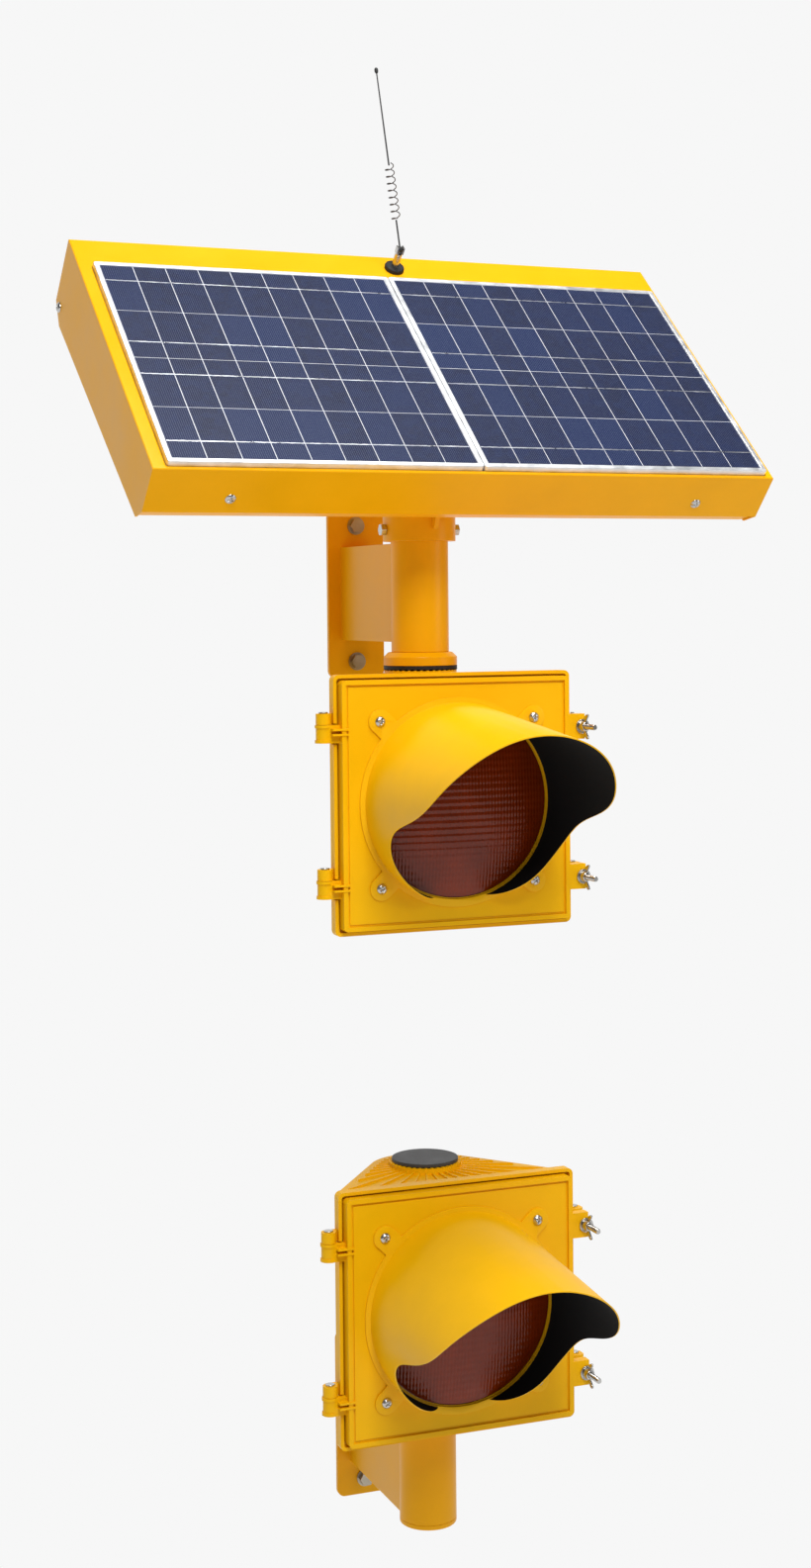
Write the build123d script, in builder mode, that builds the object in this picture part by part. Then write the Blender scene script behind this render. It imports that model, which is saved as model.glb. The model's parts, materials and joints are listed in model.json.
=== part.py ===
"""Solar-powered flashing beacon set: a solar box over an amber signal head, and a second head below.

Origin: centre of the upper back plate's bolt pattern, on the plate's rear face. +Z up, -Y to the road.
Both units bolt to one pole, which stands behind the plates. Millimetres.
"""

import os
from math import acos, atan2, cos, hypot, radians, sin, sqrt

from build123d import *

os.makedirs("parts", exist_ok=True)

# ---- places of the main units ----
POST_Y = -198.0  # the upright post's axis, in front of the plates
UPPER_HEAD_Z = -212.0
LOWER_HEAD_Z = -730.0
LOWER_PLATE_Z = -930.0

# ---- post, hub and brackets ----
POST_R = 30.15  # 2 in pipe
POST_WALL = 3.9
HUB_R = 38.5
HUB_THICK = 14.0
NIPPLE_R = 20.0
NIPPLE_BORE = 15.0
RING_THICK = 3.4
TOOTH_COUNT = 36
TOOTH_HEIGHT = 0.8
PLATE_W, PLATE_H, PLATE_T = 66.0, 190.0, 6.0
ARM_W, ARM_H, ARM_T = 36.0, 104.0, 4.0
BOLT_R = 4.76  # 3/8 in
BOLT_SPACING = 152.4
BOLT_STAND_OUT = 38.0
SHANK_R, SHANK_END = 4.86, 0.3  # plain shank inside the plate
UPPER_POST_TOP = 118.0
LOWER_POST_END = -978.0
POST_CAP_T = 5.0

# ---- signal head, measured from the post's axis and the head's middle ----
DOOR_W, DOOR_H, DOOR_T = 248.0, 250.0, 14.0
DOOR_BACK = -86.0
DOOR_FRONT = DOOR_BACK - DOOR_T
RIM_W, RIM_STEP = 4.5, 1.5
GROOVE_W, GROOVE_DEPTH = 2.4, 1.2
FACE_Y = DOOR_FRONT + RIM_STEP
WALL_BACK = FACE_Y + 3.5
CASE_HALF_W, CASE_HALF_H, CASE_WALL = 119.0, 125.0, 3.0
CASE_FRONT = -84.0
CASE_SHOULDER = -62.0
CASE_BACK_R = 58.0
LIP_W, LIP_H, LIP_T = 259.0, 261.0, 6.0
LIP_WALL_T, LIP_WALL_DEPTH = 3.5, 5.6  # low wall round the door
BOSS_TOP = 130.5
LENS_R = 99.5
LENS_OPENING_R = 97.0
LENS_BULGE = 11.0
VISOR_R, VISOR_WALL, VISOR_TILT = 100.5, 1.6, 5.9
VISOR_RING_R, VISOR_EAR_R = 106.0, 12.0
SCREW_X, SCREW_Z = 84.0, 83.5
SCREW_HEAD_R, SCREW_R = 5.3, 2.4
HINGE_X, HINGE_Y, HINGE_PIN_R, KNUCKLE_R = 139.0, -86.0, 3.0, 7.5
HINGE_Z = (72.0, -83.0)
DOOR_KNUCKLE_H, CASE_KNUCKLE_H = 18.0, 11.0
LATCH_X, LATCH_PIN_Y = 139.0, -70.0
LATCH_Z = {"top": 72.5, "bottom": -82.5}
EYE_R, EYE_H, EYEBOLT_R = 6.0, 9.0, 3.0
EYEBOLT_TIP = -130.0
LUG_H, LUG_T = 26.0, 10.0
NUT_WASHER_R, NUT_WASHER_T = 7.6, 1.6
FIT = 0.05  # radial running clearance
GAP = 0.3  # between pieces that pass each other

# Side view of the visor's cut edge: length along its axis, height above it.
VISOR_TOP_EDGE = ((206, 101), (202, 88), (192, 70), (176, 49), (154, 25.5), (126, 8.6))
VISOR_SIDE_EDGE = ((92, -5.2), (71, -17), (56, -34), (46, -56), (40, -77), (30, -88.5), (18, -93.5), (6, -95.5))

# ---- solar box, in its own tilted frame: u up the slope, v outward ----
BOX_PAN, BOX_TILT = 2.4, 42.5
BOX_W, BOX_H, SHEET = 677.0, 373.0, 2.0
BOX_CENTRE_Z = 242.0
BOX_SETBACK = -15.0
FRONT_FLANGE, REAR_FLANGE = 53.0, 77.0
TOE_U, TOE_V = -173.0, -70.0
HEEL_U, HEEL_V = 160.0, -91.0
MODULE_W, MODULE_H, MODULE_T = 327.0, 322.0, 25.0
MODULE_PITCH = 327.4
MODULE_STAND_OUT = 6.0
MODULE_X, MODULE_U = 3.0, -21.5
RAIL_W = 5.5
ANTENNA_X, ANTENNA_U = 20.0, 163.0
WHIP_LEAN = 59.0  # from the lid's normal, towards the back
# start, length and radius of the whip's rod, coil sleeve, upper rod and tip
WHIP_STEPS = ((1.5, 34, 0.9), (34, 71, 5.3), (104, 109, 0.9), (211, 6, 2.2))
COLLAR_R, COLLAR_FOOT = 38.0, 53.5
CASE_RIBS = 36  # thin fins on the housing's top and bottom
SADDLE_U = -51.5  # where the box's floor crosses the post's axis


def facing(middle_z, y, x=0.0):
    """Plane that looks to the road: its x is +X, its y is +Z, and it extrudes towards -Y."""
    return Plane(origin=(x, POST_Y + y, middle_z), x_dir=(1, 0, 0), z_dir=(0, -1, 0))


def level(z):
    """Horizontal plane centred on the post."""
    return Plane(origin=(0, POST_Y, z))


def save(builder, name):
    builder.part.label = name
    export_step(builder.part, f"parts/{name}.step")


def case_outline(inset=0.0):
    """Plan of a head's housing: straight cheeks that taper to a round back."""
    half, back = CASE_HALF_W - inset, CASE_BACK_R - inset
    front, shoulder = CASE_FRONT, CASE_SHOULDER
    turn = atan2(shoulder, half) + acos(back / hypot(half, shoulder))
    touch = (back * cos(turn), back * sin(turn))
    with BuildLine() as line:
        Polyline((-touch[0], touch[1]), (-half, shoulder), (-half, front), (half, front), (half, shoulder), touch)
        ThreePointArc(touch, (0, back), (-touch[0], touch[1]))
    return line.line


def ring_of_teeth(z, inner, outer, up):
    """Radial teeth that stand on the horizontal plane z, upward or downward."""
    with BuildPart() as teeth:
        with BuildSketch(level(z)):
            with PolarLocations((inner + outer) / 2, TOOTH_COUNT):
                Rectangle(outer - inner, 2.4)
        extrude(amount=TOOTH_HEIGHT if up else -TOOTH_HEIGHT)
    return teeth.part


# =============================== signal heads ===============================


def make_housing(name, mid):
    with BuildPart() as housing:
        with BuildSketch(level(mid - CASE_HALF_H)):
            add(case_outline())
            make_face()
        extrude(amount=2 * CASE_HALF_H)
        with BuildSketch(facing(mid, CASE_FRONT + LIP_T)):
            RectangleRounded(LIP_W, LIP_H, 6)
        extrude(amount=LIP_T)
        with BuildSketch(facing(mid, CASE_FRONT)):
            RectangleRounded(LIP_W, LIP_H, 6)
            RectangleRounded(LIP_W - 2 * LIP_WALL_T, LIP_H - 2 * LIP_WALL_T, 3, mode=Mode.SUBTRACT)
            with Locations(*[(-LIP_W / 2, z) for z in HINGE_Z]):
                Rectangle(4 * LIP_WALL_T, DOOR_KNUCKLE_H + 3, mode=Mode.SUBTRACT)
        extrude(amount=LIP_WALL_DEPTH)
        with BuildSketch(level(mid - CASE_HALF_H + CASE_WALL)):
            add(case_outline(CASE_WALL))
            make_face()
        extrude(amount=2 * (CASE_HALF_H - CASE_WALL), mode=Mode.SUBTRACT)
        for up in (True, False):
            sign = 1 if up else -1
            with BuildSketch(level(mid + sign * CASE_HALF_H)):
                with PolarLocations(80, CASE_RIBS):
                    Rectangle(90, 1.6)
                with BuildSketch(mode=Mode.INTERSECT):
                    add(case_outline(9))
                    make_face()
            extrude(amount=sign * 2.2)
            with BuildSketch(level(mid + sign * CASE_HALF_H)):
                Circle(HUB_R - 0.5)
            extrude(amount=sign * (BOSS_TOP - CASE_HALF_H))
            add(ring_of_teeth(mid + sign * BOSS_TOP, 30, HUB_R - 0.5, up))
        with BuildSketch(level(mid - BOSS_TOP - TOOTH_HEIGHT)):
            Circle(NIPPLE_R + 0.08)
        extrude(amount=2 * (BOSS_TOP + TOOTH_HEIGHT), mode=Mode.SUBTRACT)
        # hinge knuckles, each above its door knuckle
        for z in HINGE_Z:
            foot = mid + z + DOOR_KNUCKLE_H / 2 + GAP
            with BuildSketch(level(foot)):
                with Locations((-HINGE_X, HINGE_Y)):
                    Circle(KNUCKLE_R)
                with Locations((-HINGE_X + 8, HINGE_Y + 5)):
                    Rectangle(20, 6)
            extrude(amount=CASE_KNUCKLE_H)
            with BuildSketch(level(foot)):
                with Locations((-HINGE_X, HINGE_Y)):
                    Circle(HINGE_PIN_R)
            extrude(amount=CASE_KNUCKLE_H, mode=Mode.SUBTRACT)
        # clevis ears that carry the eyebolts
        for z in LATCH_Z.values():
            for ear in (mid + z + EYE_H / 2 + GAP, mid + z - EYE_H / 2 - GAP - 7):
                with BuildSketch(level(ear)):
                    with Locations((LATCH_X - 5.5, LATCH_PIN_Y - 2)):
                        RectangleRounded(27, 15, 4)
                    with Locations((LATCH_X, LATCH_PIN_Y)):
                        Circle(HINGE_PIN_R, mode=Mode.SUBTRACT)
                extrude(amount=7)
        # pads for the terminal block on the back wall
        with BuildSketch(facing(mid, CASE_BACK_R - 1)):
            with Locations((-18, 0), (18, 0)):
                Rectangle(10, 14)
        extrude(amount=CASE_BACK_R - 1 - 44)
        # front opening
        with BuildSketch(facing(mid, CASE_FRONT + 12)):
            RectangleRounded(232, 236, 4)
        extrude(amount=12, mode=Mode.SUBTRACT)
    save(housing, name)


def make_door(name, mid):
    with BuildPart() as door:
        with BuildSketch(facing(mid, DOOR_BACK)):
            RectangleRounded(DOOR_W, DOOR_H, 5)
        extrude(amount=DOOR_T)
        with BuildSketch(facing(mid, DOOR_FRONT)):
            Rectangle(DOOR_W - 2 * RIM_W, DOOR_H - 2 * RIM_W)
        extrude(amount=-RIM_STEP, mode=Mode.SUBTRACT)
        with BuildSketch(facing(mid, FACE_Y)):
            Rectangle(DOOR_W - 2 * RIM_W, DOOR_H - 2 * RIM_W)
            Rectangle(DOOR_W - 2 * RIM_W - 2 * GROOVE_W, DOOR_H - 2 * RIM_W - 2 * GROOVE_W, mode=Mode.SUBTRACT)
        extrude(amount=-GROOVE_DEPTH, mode=Mode.SUBTRACT)
        with BuildSketch(facing(mid, DOOR_BACK)):
            RectangleRounded(DOOR_W - 12, DOOR_H - 12, 3)
        extrude(amount=DOOR_BACK - WALL_BACK, mode=Mode.SUBTRACT)
        with BuildSketch(facing(mid, WALL_BACK)):
            Circle(LENS_OPENING_R)
            with Locations(*[(x * SCREW_X, z * SCREW_Z) for x in (-1, 1) for z in (-1, 1)]):
                Circle(SCREW_R)
        extrude(amount=WALL_BACK - DOOR_FRONT, mode=Mode.SUBTRACT)
        with BuildSketch(facing(mid, WALL_BACK)):
            Circle(LENS_R + GAP)
        extrude(amount=2, mode=Mode.SUBTRACT)
        # hinge knuckles with their webs and the two ribs over the rim
        for z in HINGE_Z:
            foot = mid + z - DOOR_KNUCKLE_H / 2
            with BuildSketch(level(foot)):
                with Locations((-HINGE_X, HINGE_Y)):
                    Circle(KNUCKLE_R)
                with Locations((-HINGE_X + 8, HINGE_Y - 4)):
                    Rectangle(16, 7)
            extrude(amount=DOOR_KNUCKLE_H)
            for end in (foot, foot + DOOR_KNUCKLE_H - 3):
                with BuildSketch(level(end)):
                    with Locations((-HINGE_X, HINGE_Y)):
                        Circle(KNUCKLE_R + 1)
                extrude(amount=3)
            with BuildSketch(level(foot)):
                with Locations((-HINGE_X, HINGE_Y)):
                    Circle(HINGE_PIN_R + FIT)
            extrude(amount=DOOR_KNUCKLE_H, mode=Mode.SUBTRACT)
            for rib in (-1.5, 3.5):
                with BuildSketch(level(mid + z + rib)):
                    with Locations((-DOOR_W / 2 - 1.5, DOOR_FRONT + 3)):
                        Rectangle(17, 8)
                extrude(amount=2)
        # forked lugs that the eyebolts drop into
        for z in LATCH_Z.values():
            with BuildSketch(facing(mid + z, DOOR_FRONT + LUG_T)):
                with Locations((DOOR_W / 2 + 8.5, 0)):
                    Rectangle(19, LUG_H)
            extrude(amount=LUG_T)
            with BuildSketch(facing(mid + z, DOOR_FRONT + LUG_T)):
                with Locations((LATCH_X + 4, 0)):
                    Rectangle(19, 2 * (EYEBOLT_R + 1.5))
            extrude(amount=LUG_T, mode=Mode.SUBTRACT)
    save(door, name)


def make_gasket(name, mid):
    with BuildPart() as gasket:
        with BuildSketch(facing(mid, CASE_FRONT - GAP)):
            RectangleRounded(DOOR_W - 2, DOOR_H - 2, 4)
            RectangleRounded(DOOR_W - 10, DOOR_H - 10, 2, mode=Mode.SUBTRACT)
        extrude(amount=CASE_FRONT - GAP - DOOR_BACK)
    save(gasket, name)


def dome(apex_y, rim_r, rim_y):
    """Start, middle and end of an arc, centred on the axis, from its apex out to its rim."""
    rise = rim_y - apex_y
    radius = (rim_r**2 + rise**2) / (2 * rise)
    half_r = rim_r / 2
    return (0, apex_y), (half_r, apex_y + radius - sqrt(radius**2 - half_r**2)), (rim_r, rim_y)


def make_lens(name, mid):
    """Domed amber lens with a flat rim behind the door's opening."""
    outer_rim, inner_rim = LENS_OPENING_R - 1, LENS_OPENING_R - 5
    apex, back_apex = FACE_Y - LENS_BULGE, FACE_Y - LENS_BULGE + 3
    with BuildPart() as lens:
        with BuildSketch(level(mid)):
            with BuildLine():
                ThreePointArc(*dome(apex, outer_rim, FACE_Y))
                Polyline((outer_rim, FACE_Y), (outer_rim, FACE_Y + 1.5), (LENS_R, FACE_Y + 1.5), (LENS_R, WALL_BACK))
                Polyline((LENS_R, WALL_BACK), (inner_rim, WALL_BACK), (inner_rim, FACE_Y + 2.4))
                ThreePointArc(*dome(back_apex, inner_rim, FACE_Y + 2.4))
                Line((0, back_apex), (0, apex))
            make_face()
        revolve(axis=Axis((0, POST_Y, mid), (0, 1, 0)))
    save(lens, name)


def make_lamp(name, mid):
    """LED lamp: a round cup behind the lens, with emitters on its floor and cooling fins."""
    cup_back = -50.0
    with BuildPart() as lamp:
        with BuildSketch(level(mid)):
            with BuildLine():
                Polyline(
                    (0, cup_back), (66, cup_back), (94, -78), (94, WALL_BACK + 2.5), (LENS_R, WALL_BACK + 2.5),
                    (LENS_R, WALL_BACK), (91, WALL_BACK), (91, -79), (64, cup_back - 3), (0, cup_back - 3), close=True,
                )
            make_face()
        revolve(axis=Axis((0, POST_Y, mid), (0, 1, 0)))
        with BuildSketch(facing(mid, cup_back - 3)):
            Circle(5)
            with PolarLocations(24, 6):
                Circle(5)
            with PolarLocations(48, 12):
                Circle(5)
        extrude(amount=6)
        with BuildSketch(facing(mid, cup_back)):
            with GridLocations(10, 0, 9, 1):
                Rectangle(2.4, 80)
        extrude(amount=-10)
    save(lamp, name)


def make_lens_clips(name, mid):
    with BuildPart() as clips:
        with BuildSketch(facing(mid, WALL_BACK + 2.5)):
            with PolarLocations(105.8, 4):
                Rectangle(9, 12)
        extrude(amount=2.5)
        with BuildSketch(facing(mid, WALL_BACK + 4.5)):
            with PolarLocations(103, 4):
                Rectangle(14.6, 12)
        extrude(amount=2)
    save(clips, name)


def make_visor(name, mid):
    """Cut-away visor: a tube that droops by VISOR_TILT, with a long top and a low cut edge."""
    axis = facing(mid, FACE_Y).rotated((VISOR_TILT, 0, 0))
    side = Plane(origin=axis.origin, x_dir=axis.z_dir, z_dir=(-1, 0, 0))
    spots = [(x * SCREW_X, z * SCREW_Z) for x in (-1, 1) for z in (-1, 1)]
    with BuildPart() as tube:
        with BuildSketch(axis.offset(-20)):
            Circle(VISOR_R)
            Circle(VISOR_R - VISOR_WALL, mode=Mode.SUBTRACT)
        extrude(amount=240)
        with BuildSketch(side.offset(-130)):
            with BuildLine():
                Spline(*VISOR_TOP_EDGE, *VISOR_SIDE_EDGE)
                Polyline(
                    VISOR_SIDE_EDGE[-1], (-20, VISOR_SIDE_EDGE[-1][1]), (-20, -130), (260, -130), (260, 120),
                    (206, 120), VISOR_TOP_EDGE[0],
                )
            make_face()
        extrude(amount=260, mode=Mode.SUBTRACT)
        with BuildSketch(facing(mid, FACE_Y - 1)):
            Rectangle(300, 300)
        extrude(amount=-60, mode=Mode.SUBTRACT)
    with BuildPart() as visor:
        with BuildSketch(facing(mid, FACE_Y)):
            Circle(VISOR_RING_R)
            with Locations(*spots):
                Circle(VISOR_EAR_R)
            with PolarLocations(106, 4, start_angle=45):
                Rectangle(24, 2 * VISOR_EAR_R)
            Circle(VISOR_R - VISOR_WALL - 0.6, mode=Mode.SUBTRACT)
            with Locations(*spots):
                Circle(SCREW_R, mode=Mode.SUBTRACT)
        extrude(amount=2)
        add(tube.part)
    save(visor, name)


def make_visor_screws(name, mid):
    spots = [(x * SCREW_X, z * SCREW_Z) for x in (-1, 1) for z in (-1, 1)]
    with BuildPart() as screws:
        with BuildSketch(facing(mid, FACE_Y - 2)):
            with Locations(*spots):
                Circle(SCREW_HEAD_R)
        extrude(amount=3.2, taper=22)
        with BuildSketch(facing(mid, WALL_BACK + 3)):
            with Locations(*spots):
                Circle(SCREW_R)
        extrude(amount=WALL_BACK + 3 - FACE_Y + 2)
    save(screws, name)


def make_pivot_pins(name, mid):
    """Two hinge pins and two latch pins, dropped in from above, each with a low head."""
    with BuildPart() as pins:
        for z in HINGE_Z:
            top = mid + z + DOOR_KNUCKLE_H / 2 + GAP + CASE_KNUCKLE_H
            with BuildSketch(level(top)):
                with Locations((-HINGE_X, HINGE_Y)):
                    Circle(HINGE_PIN_R)
            extrude(amount=-DOOR_KNUCKLE_H - CASE_KNUCKLE_H - 2 * GAP)
            with BuildSketch(level(top)):
                with Locations((-HINGE_X, HINGE_Y)):
                    Circle(HINGE_PIN_R + 1.8)
            extrude(amount=1.6)
        for z in LATCH_Z.values():
            top = mid + z + EYE_H / 2 + GAP + 7
            with BuildSketch(level(top)):
                with Locations((LATCH_X, LATCH_PIN_Y)):
                    Circle(HINGE_PIN_R)
            extrude(amount=-EYE_H - 2 * GAP - 15)
            with BuildSketch(level(top)):
                with Locations((LATCH_X, LATCH_PIN_Y)):
                    Circle(HINGE_PIN_R + 1.8)
            extrude(amount=1.6)
    save(pins, name)


def make_latch(prefix, spot, mid):
    """Eyebolt, washer and wing nut of one latch."""
    z = mid + LATCH_Z[spot]
    with BuildPart() as eyebolt:
        with BuildSketch(level(z - EYE_H / 2)):
            with Locations((LATCH_X, LATCH_PIN_Y)):
                Circle(EYE_R)
        extrude(amount=EYE_H)
        with BuildSketch(facing(z, LATCH_PIN_Y, LATCH_X)):
            Circle(EYEBOLT_R)
        extrude(amount=LATCH_PIN_Y - EYEBOLT_TIP)
        with BuildSketch(level(z - EYE_H / 2)):
            with Locations((LATCH_X, LATCH_PIN_Y)):
                Circle(HINGE_PIN_R + FIT)
        extrude(amount=EYE_H, mode=Mode.SUBTRACT)
    save(eyebolt, f"{prefix}_eyebolt_{spot}")

    washer_back = DOOR_FRONT - 0.5
    with BuildPart() as washer:
        with BuildSketch(facing(z, washer_back, LATCH_X)):
            Circle(NUT_WASHER_R)
            Circle(EYEBOLT_R + FIT, mode=Mode.SUBTRACT)
        extrude(amount=NUT_WASHER_T)
    save(washer, f"{prefix}_washer_{spot}")

    nut_back = washer_back - NUT_WASHER_T - GAP
    wing_plane = Plane(origin=(LATCH_X, POST_Y + nut_back, z), x_dir=(0, -1, 0), z_dir=(-1, 0, 0))
    with BuildPart() as nut:
        with BuildSketch(facing(z, nut_back, LATCH_X)):
            Circle(5.4)
        extrude(amount=7.5, taper=8)
        with BuildSketch(wing_plane):
            with Locations((6.5, 8.2), (6.5, -8.2)):
                Ellipse(4.2, 5.0)
        extrude(amount=1.2, both=True)
        with BuildSketch(facing(z, nut_back, LATCH_X)):
            Circle(EYEBOLT_R + FIT)
        extrude(amount=14, mode=Mode.SUBTRACT)
    save(nut, f"{prefix}_wing_nut_{spot}")


def make_terminal_block(name, mid):
    with BuildPart() as block:
        with BuildSketch(facing(mid, 44)):
            Rectangle(60, 22)
        extrude(amount=14)
        with BuildSketch(facing(mid, 30)):
            with GridLocations(11, 12, 5, 2):
                Circle(3.2)
        extrude(amount=-5, mode=Mode.SUBTRACT)
        for x in (-16.5, -5.5, 5.5, 16.5):
            with BuildSketch(facing(mid, 30)):
                with Locations((x, 0)):
                    Rectangle(1.4, 22)
            extrude(amount=2)
    save(block, name)


def make_hub_cap(name, mid, side):
    """Disc with a stem that closes the housing's spare hub opening."""
    seat = mid + side * (BOSS_TOP + TOOTH_HEIGHT)
    with BuildPart() as cap:
        with BuildSketch(level(seat)):
            Circle(35)
        extrude(amount=side * 3.8)
        with BuildSketch(level(seat)):
            Circle(NIPPLE_R - 0.2)
            Circle(NIPPLE_R - 3, mode=Mode.SUBTRACT)
        extrude(amount=-side * 16)
    save(cap, name)


def make_head(prefix, mid, hub_side):
    make_housing(f"{prefix}_housing", mid)
    make_door(f"{prefix}_door", mid)
    make_gasket(f"{prefix}_door_gasket", mid)
    make_lens(f"{prefix}_lens", mid)
    make_lamp(f"{prefix}_led_lamp", mid)
    make_lens_clips(f"{prefix}_lens_clips", mid)
    make_visor(f"{prefix}_visor", mid)
    make_visor_screws(f"{prefix}_visor_screws", mid)
    make_pivot_pins(f"{prefix}_pivot_pins", mid)
    for spot in LATCH_Z:
        make_latch(prefix, spot, mid)
    make_terminal_block(f"{prefix}_terminal_block", mid)
    make_hub_cap(f"{prefix}_hub_cap", mid, -hub_side)


# =============================== brackets and posts ===============================


def make_hub(prefix, mid, side):
    """Serrated ring, flange with its nipple, and the lock nut inside the head."""
    ring_seat = mid + side * (BOSS_TOP + 2 * TOOTH_HEIGHT + GAP)
    with BuildPart() as ring:
        with BuildSketch(level(ring_seat)):
            Circle(HUB_R)
            Circle(NIPPLE_R, mode=Mode.SUBTRACT)
        extrude(amount=side * RING_THICK)
        add(ring_of_teeth(ring_seat, 30, HUB_R, side < 0))
    save(ring, f"{prefix}_serrated_ring")

    flange_seat = ring_seat + side * RING_THICK
    nipple_end = mid + side * 108
    with BuildPart() as flange:
        with BuildSketch(level(flange_seat)):
            Circle(HUB_R)
        extrude(amount=side * HUB_THICK)
        far = flange.faces().sort_by(Axis.Z)[-1 if side > 0 else 0]
        chamfer(far.edges(), 5)
        with BuildSketch(level(nipple_end)):
            Circle(NIPPLE_R)
        extrude(amount=flange_seat - nipple_end)
        with BuildSketch(level(nipple_end)):
            Circle(NIPPLE_BORE)
        extrude(amount=flange_seat - nipple_end + side * HUB_THICK, mode=Mode.SUBTRACT)
    save(flange, f"{prefix}_hub_flange")

    nut_seat = mid + side * (CASE_HALF_H - CASE_WALL - GAP)
    with BuildPart() as lock_nut:
        with BuildSketch(level(nut_seat)):
            RegularPolygon(29, 6)
            Circle(NIPPLE_R, mode=Mode.SUBTRACT)
        extrude(amount=-side * 9)
    save(lock_nut, f"{prefix}_lock_nut")
    return flange_seat + side * HUB_THICK


def make_bracket(prefix, plate_z, arm_shift):
    """Back plate with a formed channel arm that reaches the post."""
    arm_z = plate_z + arm_shift
    with BuildPart() as bracket:
        with BuildSketch(Plane(origin=(0, 0, plate_z), x_dir=(1, 0, 0), z_dir=(0, -1, 0))):
            RectangleRounded(PLATE_W, PLATE_H, 9)
            with GridLocations(0, BOLT_SPACING, 1, 2):
                Circle(BOLT_R + 0.4, mode=Mode.SUBTRACT)
        extrude(amount=PLATE_T)
        with BuildSketch(Plane(origin=(0, -PLATE_T, arm_z), x_dir=(1, 0, 0), z_dir=(0, -1, 0))):
            Rectangle(ARM_W, ARM_H)
            with Locations((0, -ARM_T)):
                Rectangle(ARM_W - 2 * ARM_T, ARM_H, mode=Mode.SUBTRACT)
        extrude(amount=-POST_Y - PLATE_T)
        with BuildSketch(level(arm_z - ARM_H)):
            Circle(POST_R)
        extrude(amount=2 * ARM_H, mode=Mode.SUBTRACT)
    save(bracket, f"{prefix}_mount_bracket")

    with BuildPart() as fasteners:
        for z in (plate_z - BOLT_SPACING / 2, plate_z + BOLT_SPACING / 2):
            with BuildSketch(Plane(origin=(0, -PLATE_T, z), x_dir=(1, 0, 0), z_dir=(0, -1, 0))):
                Circle(10)
                Circle(BOLT_R, mode=Mode.SUBTRACT)
            extrude(amount=1.6)
            with BuildSketch(Plane(origin=(0, -PLATE_T - 1.6, z), x_dir=(1, 0, 0), z_dir=(0, -1, 0))):
                RegularPolygon(8.2, 6)
            extrude(amount=6)
            with BuildSketch(Plane(origin=(0, SHANK_END, z), x_dir=(1, 0, 0), z_dir=(0, -1, 0))):
                Circle(SHANK_R)
            extrude(amount=SHANK_END + PLATE_T + 1.6)
            with BuildSketch(Plane(origin=(0, BOLT_STAND_OUT, z), x_dir=(1, 0, 0), z_dir=(0, -1, 0))):
                Circle(BOLT_R)
            extrude(amount=BOLT_STAND_OUT)
    save(fasteners, f"{prefix}_mount_bolts")


def make_post(name, low, high):
    with BuildPart() as post:
        with BuildSketch(level(low)):
            Circle(POST_R)
            Circle(POST_R - POST_WALL, mode=Mode.SUBTRACT)
        extrude(amount=high - low)
    save(post, name)


def make_post_cap(name, low):
    with BuildPart() as cap:
        with BuildSketch(level(low)):
            Circle(POST_R)
        extrude(amount=-POST_CAP_T)
        fillet(cap.faces().sort_by(Axis.Z)[0].edges(), 1.5)
        with BuildSketch(level(low)):
            Circle(POST_R - POST_WALL)
            Circle(POST_R - POST_WALL - 2.5, mode=Mode.SUBTRACT)
        extrude(amount=14)
    save(cap, name)


# =============================== solar box ===============================

pan, tilt = radians(BOX_PAN), radians(BOX_TILT)
BACKWARD = Vector(-sin(pan), cos(pan), 0)
NORMAL = BACKWARD * -sin(tilt) + Vector(0, 0, cos(tilt))
LID = Plane(
    origin=Vector(0, POST_Y, BOX_CENTRE_Z) + BACKWARD * BOX_SETBACK, x_dir=(cos(pan), sin(pan), 0), z_dir=NORMAL
)
SLOPE = LID.y_dir
FLOOR_ANGLE = atan2(HEEL_V - TOE_V, HEEL_U - TOE_U)
FLOOR_FALL = (HEEL_V - TOE_V) / (HEEL_U - TOE_U)


def box_side(x):
    """Side view of the box at x across it: local x is u up the slope, local y is v outward."""
    return Plane(origin=LID.from_local_coords((x, 0, 0)), x_dir=SLOPE, z_dir=LID.x_dir)


def floor_plane(x, u):
    """Plane on the box's sloping underside, under (x, u), facing outward like the lid."""
    v = TOE_V + (u - TOE_U) * FLOOR_FALL
    along = SLOPE * cos(FLOOR_ANGLE) + NORMAL * sin(FLOOR_ANGLE)
    return Plane(origin=LID.from_local_coords((x, u, v)), x_dir=LID.x_dir, z_dir=LID.x_dir.cross(along))


def wedge(inset=0.0, lift=0.0):
    """Side outline of the box, closed: inset moves the walls in and lift raises the floor."""
    half = BOX_H / 2 - inset
    toe = (TOE_U + inset, TOE_V + lift + inset * FLOOR_FALL)
    heel = (HEEL_U - inset, HEEL_V + lift - inset * FLOOR_FALL)
    front_foot, rear_foot = -FRONT_FLANGE + lift * 0.4, -REAR_FLANGE + lift * 0.6
    with BuildLine() as line:
        Polyline((half, 0), (-half, 0), (-half, front_foot), toe, heel, (half, rear_foot), close=True)
    return line.line


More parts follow.
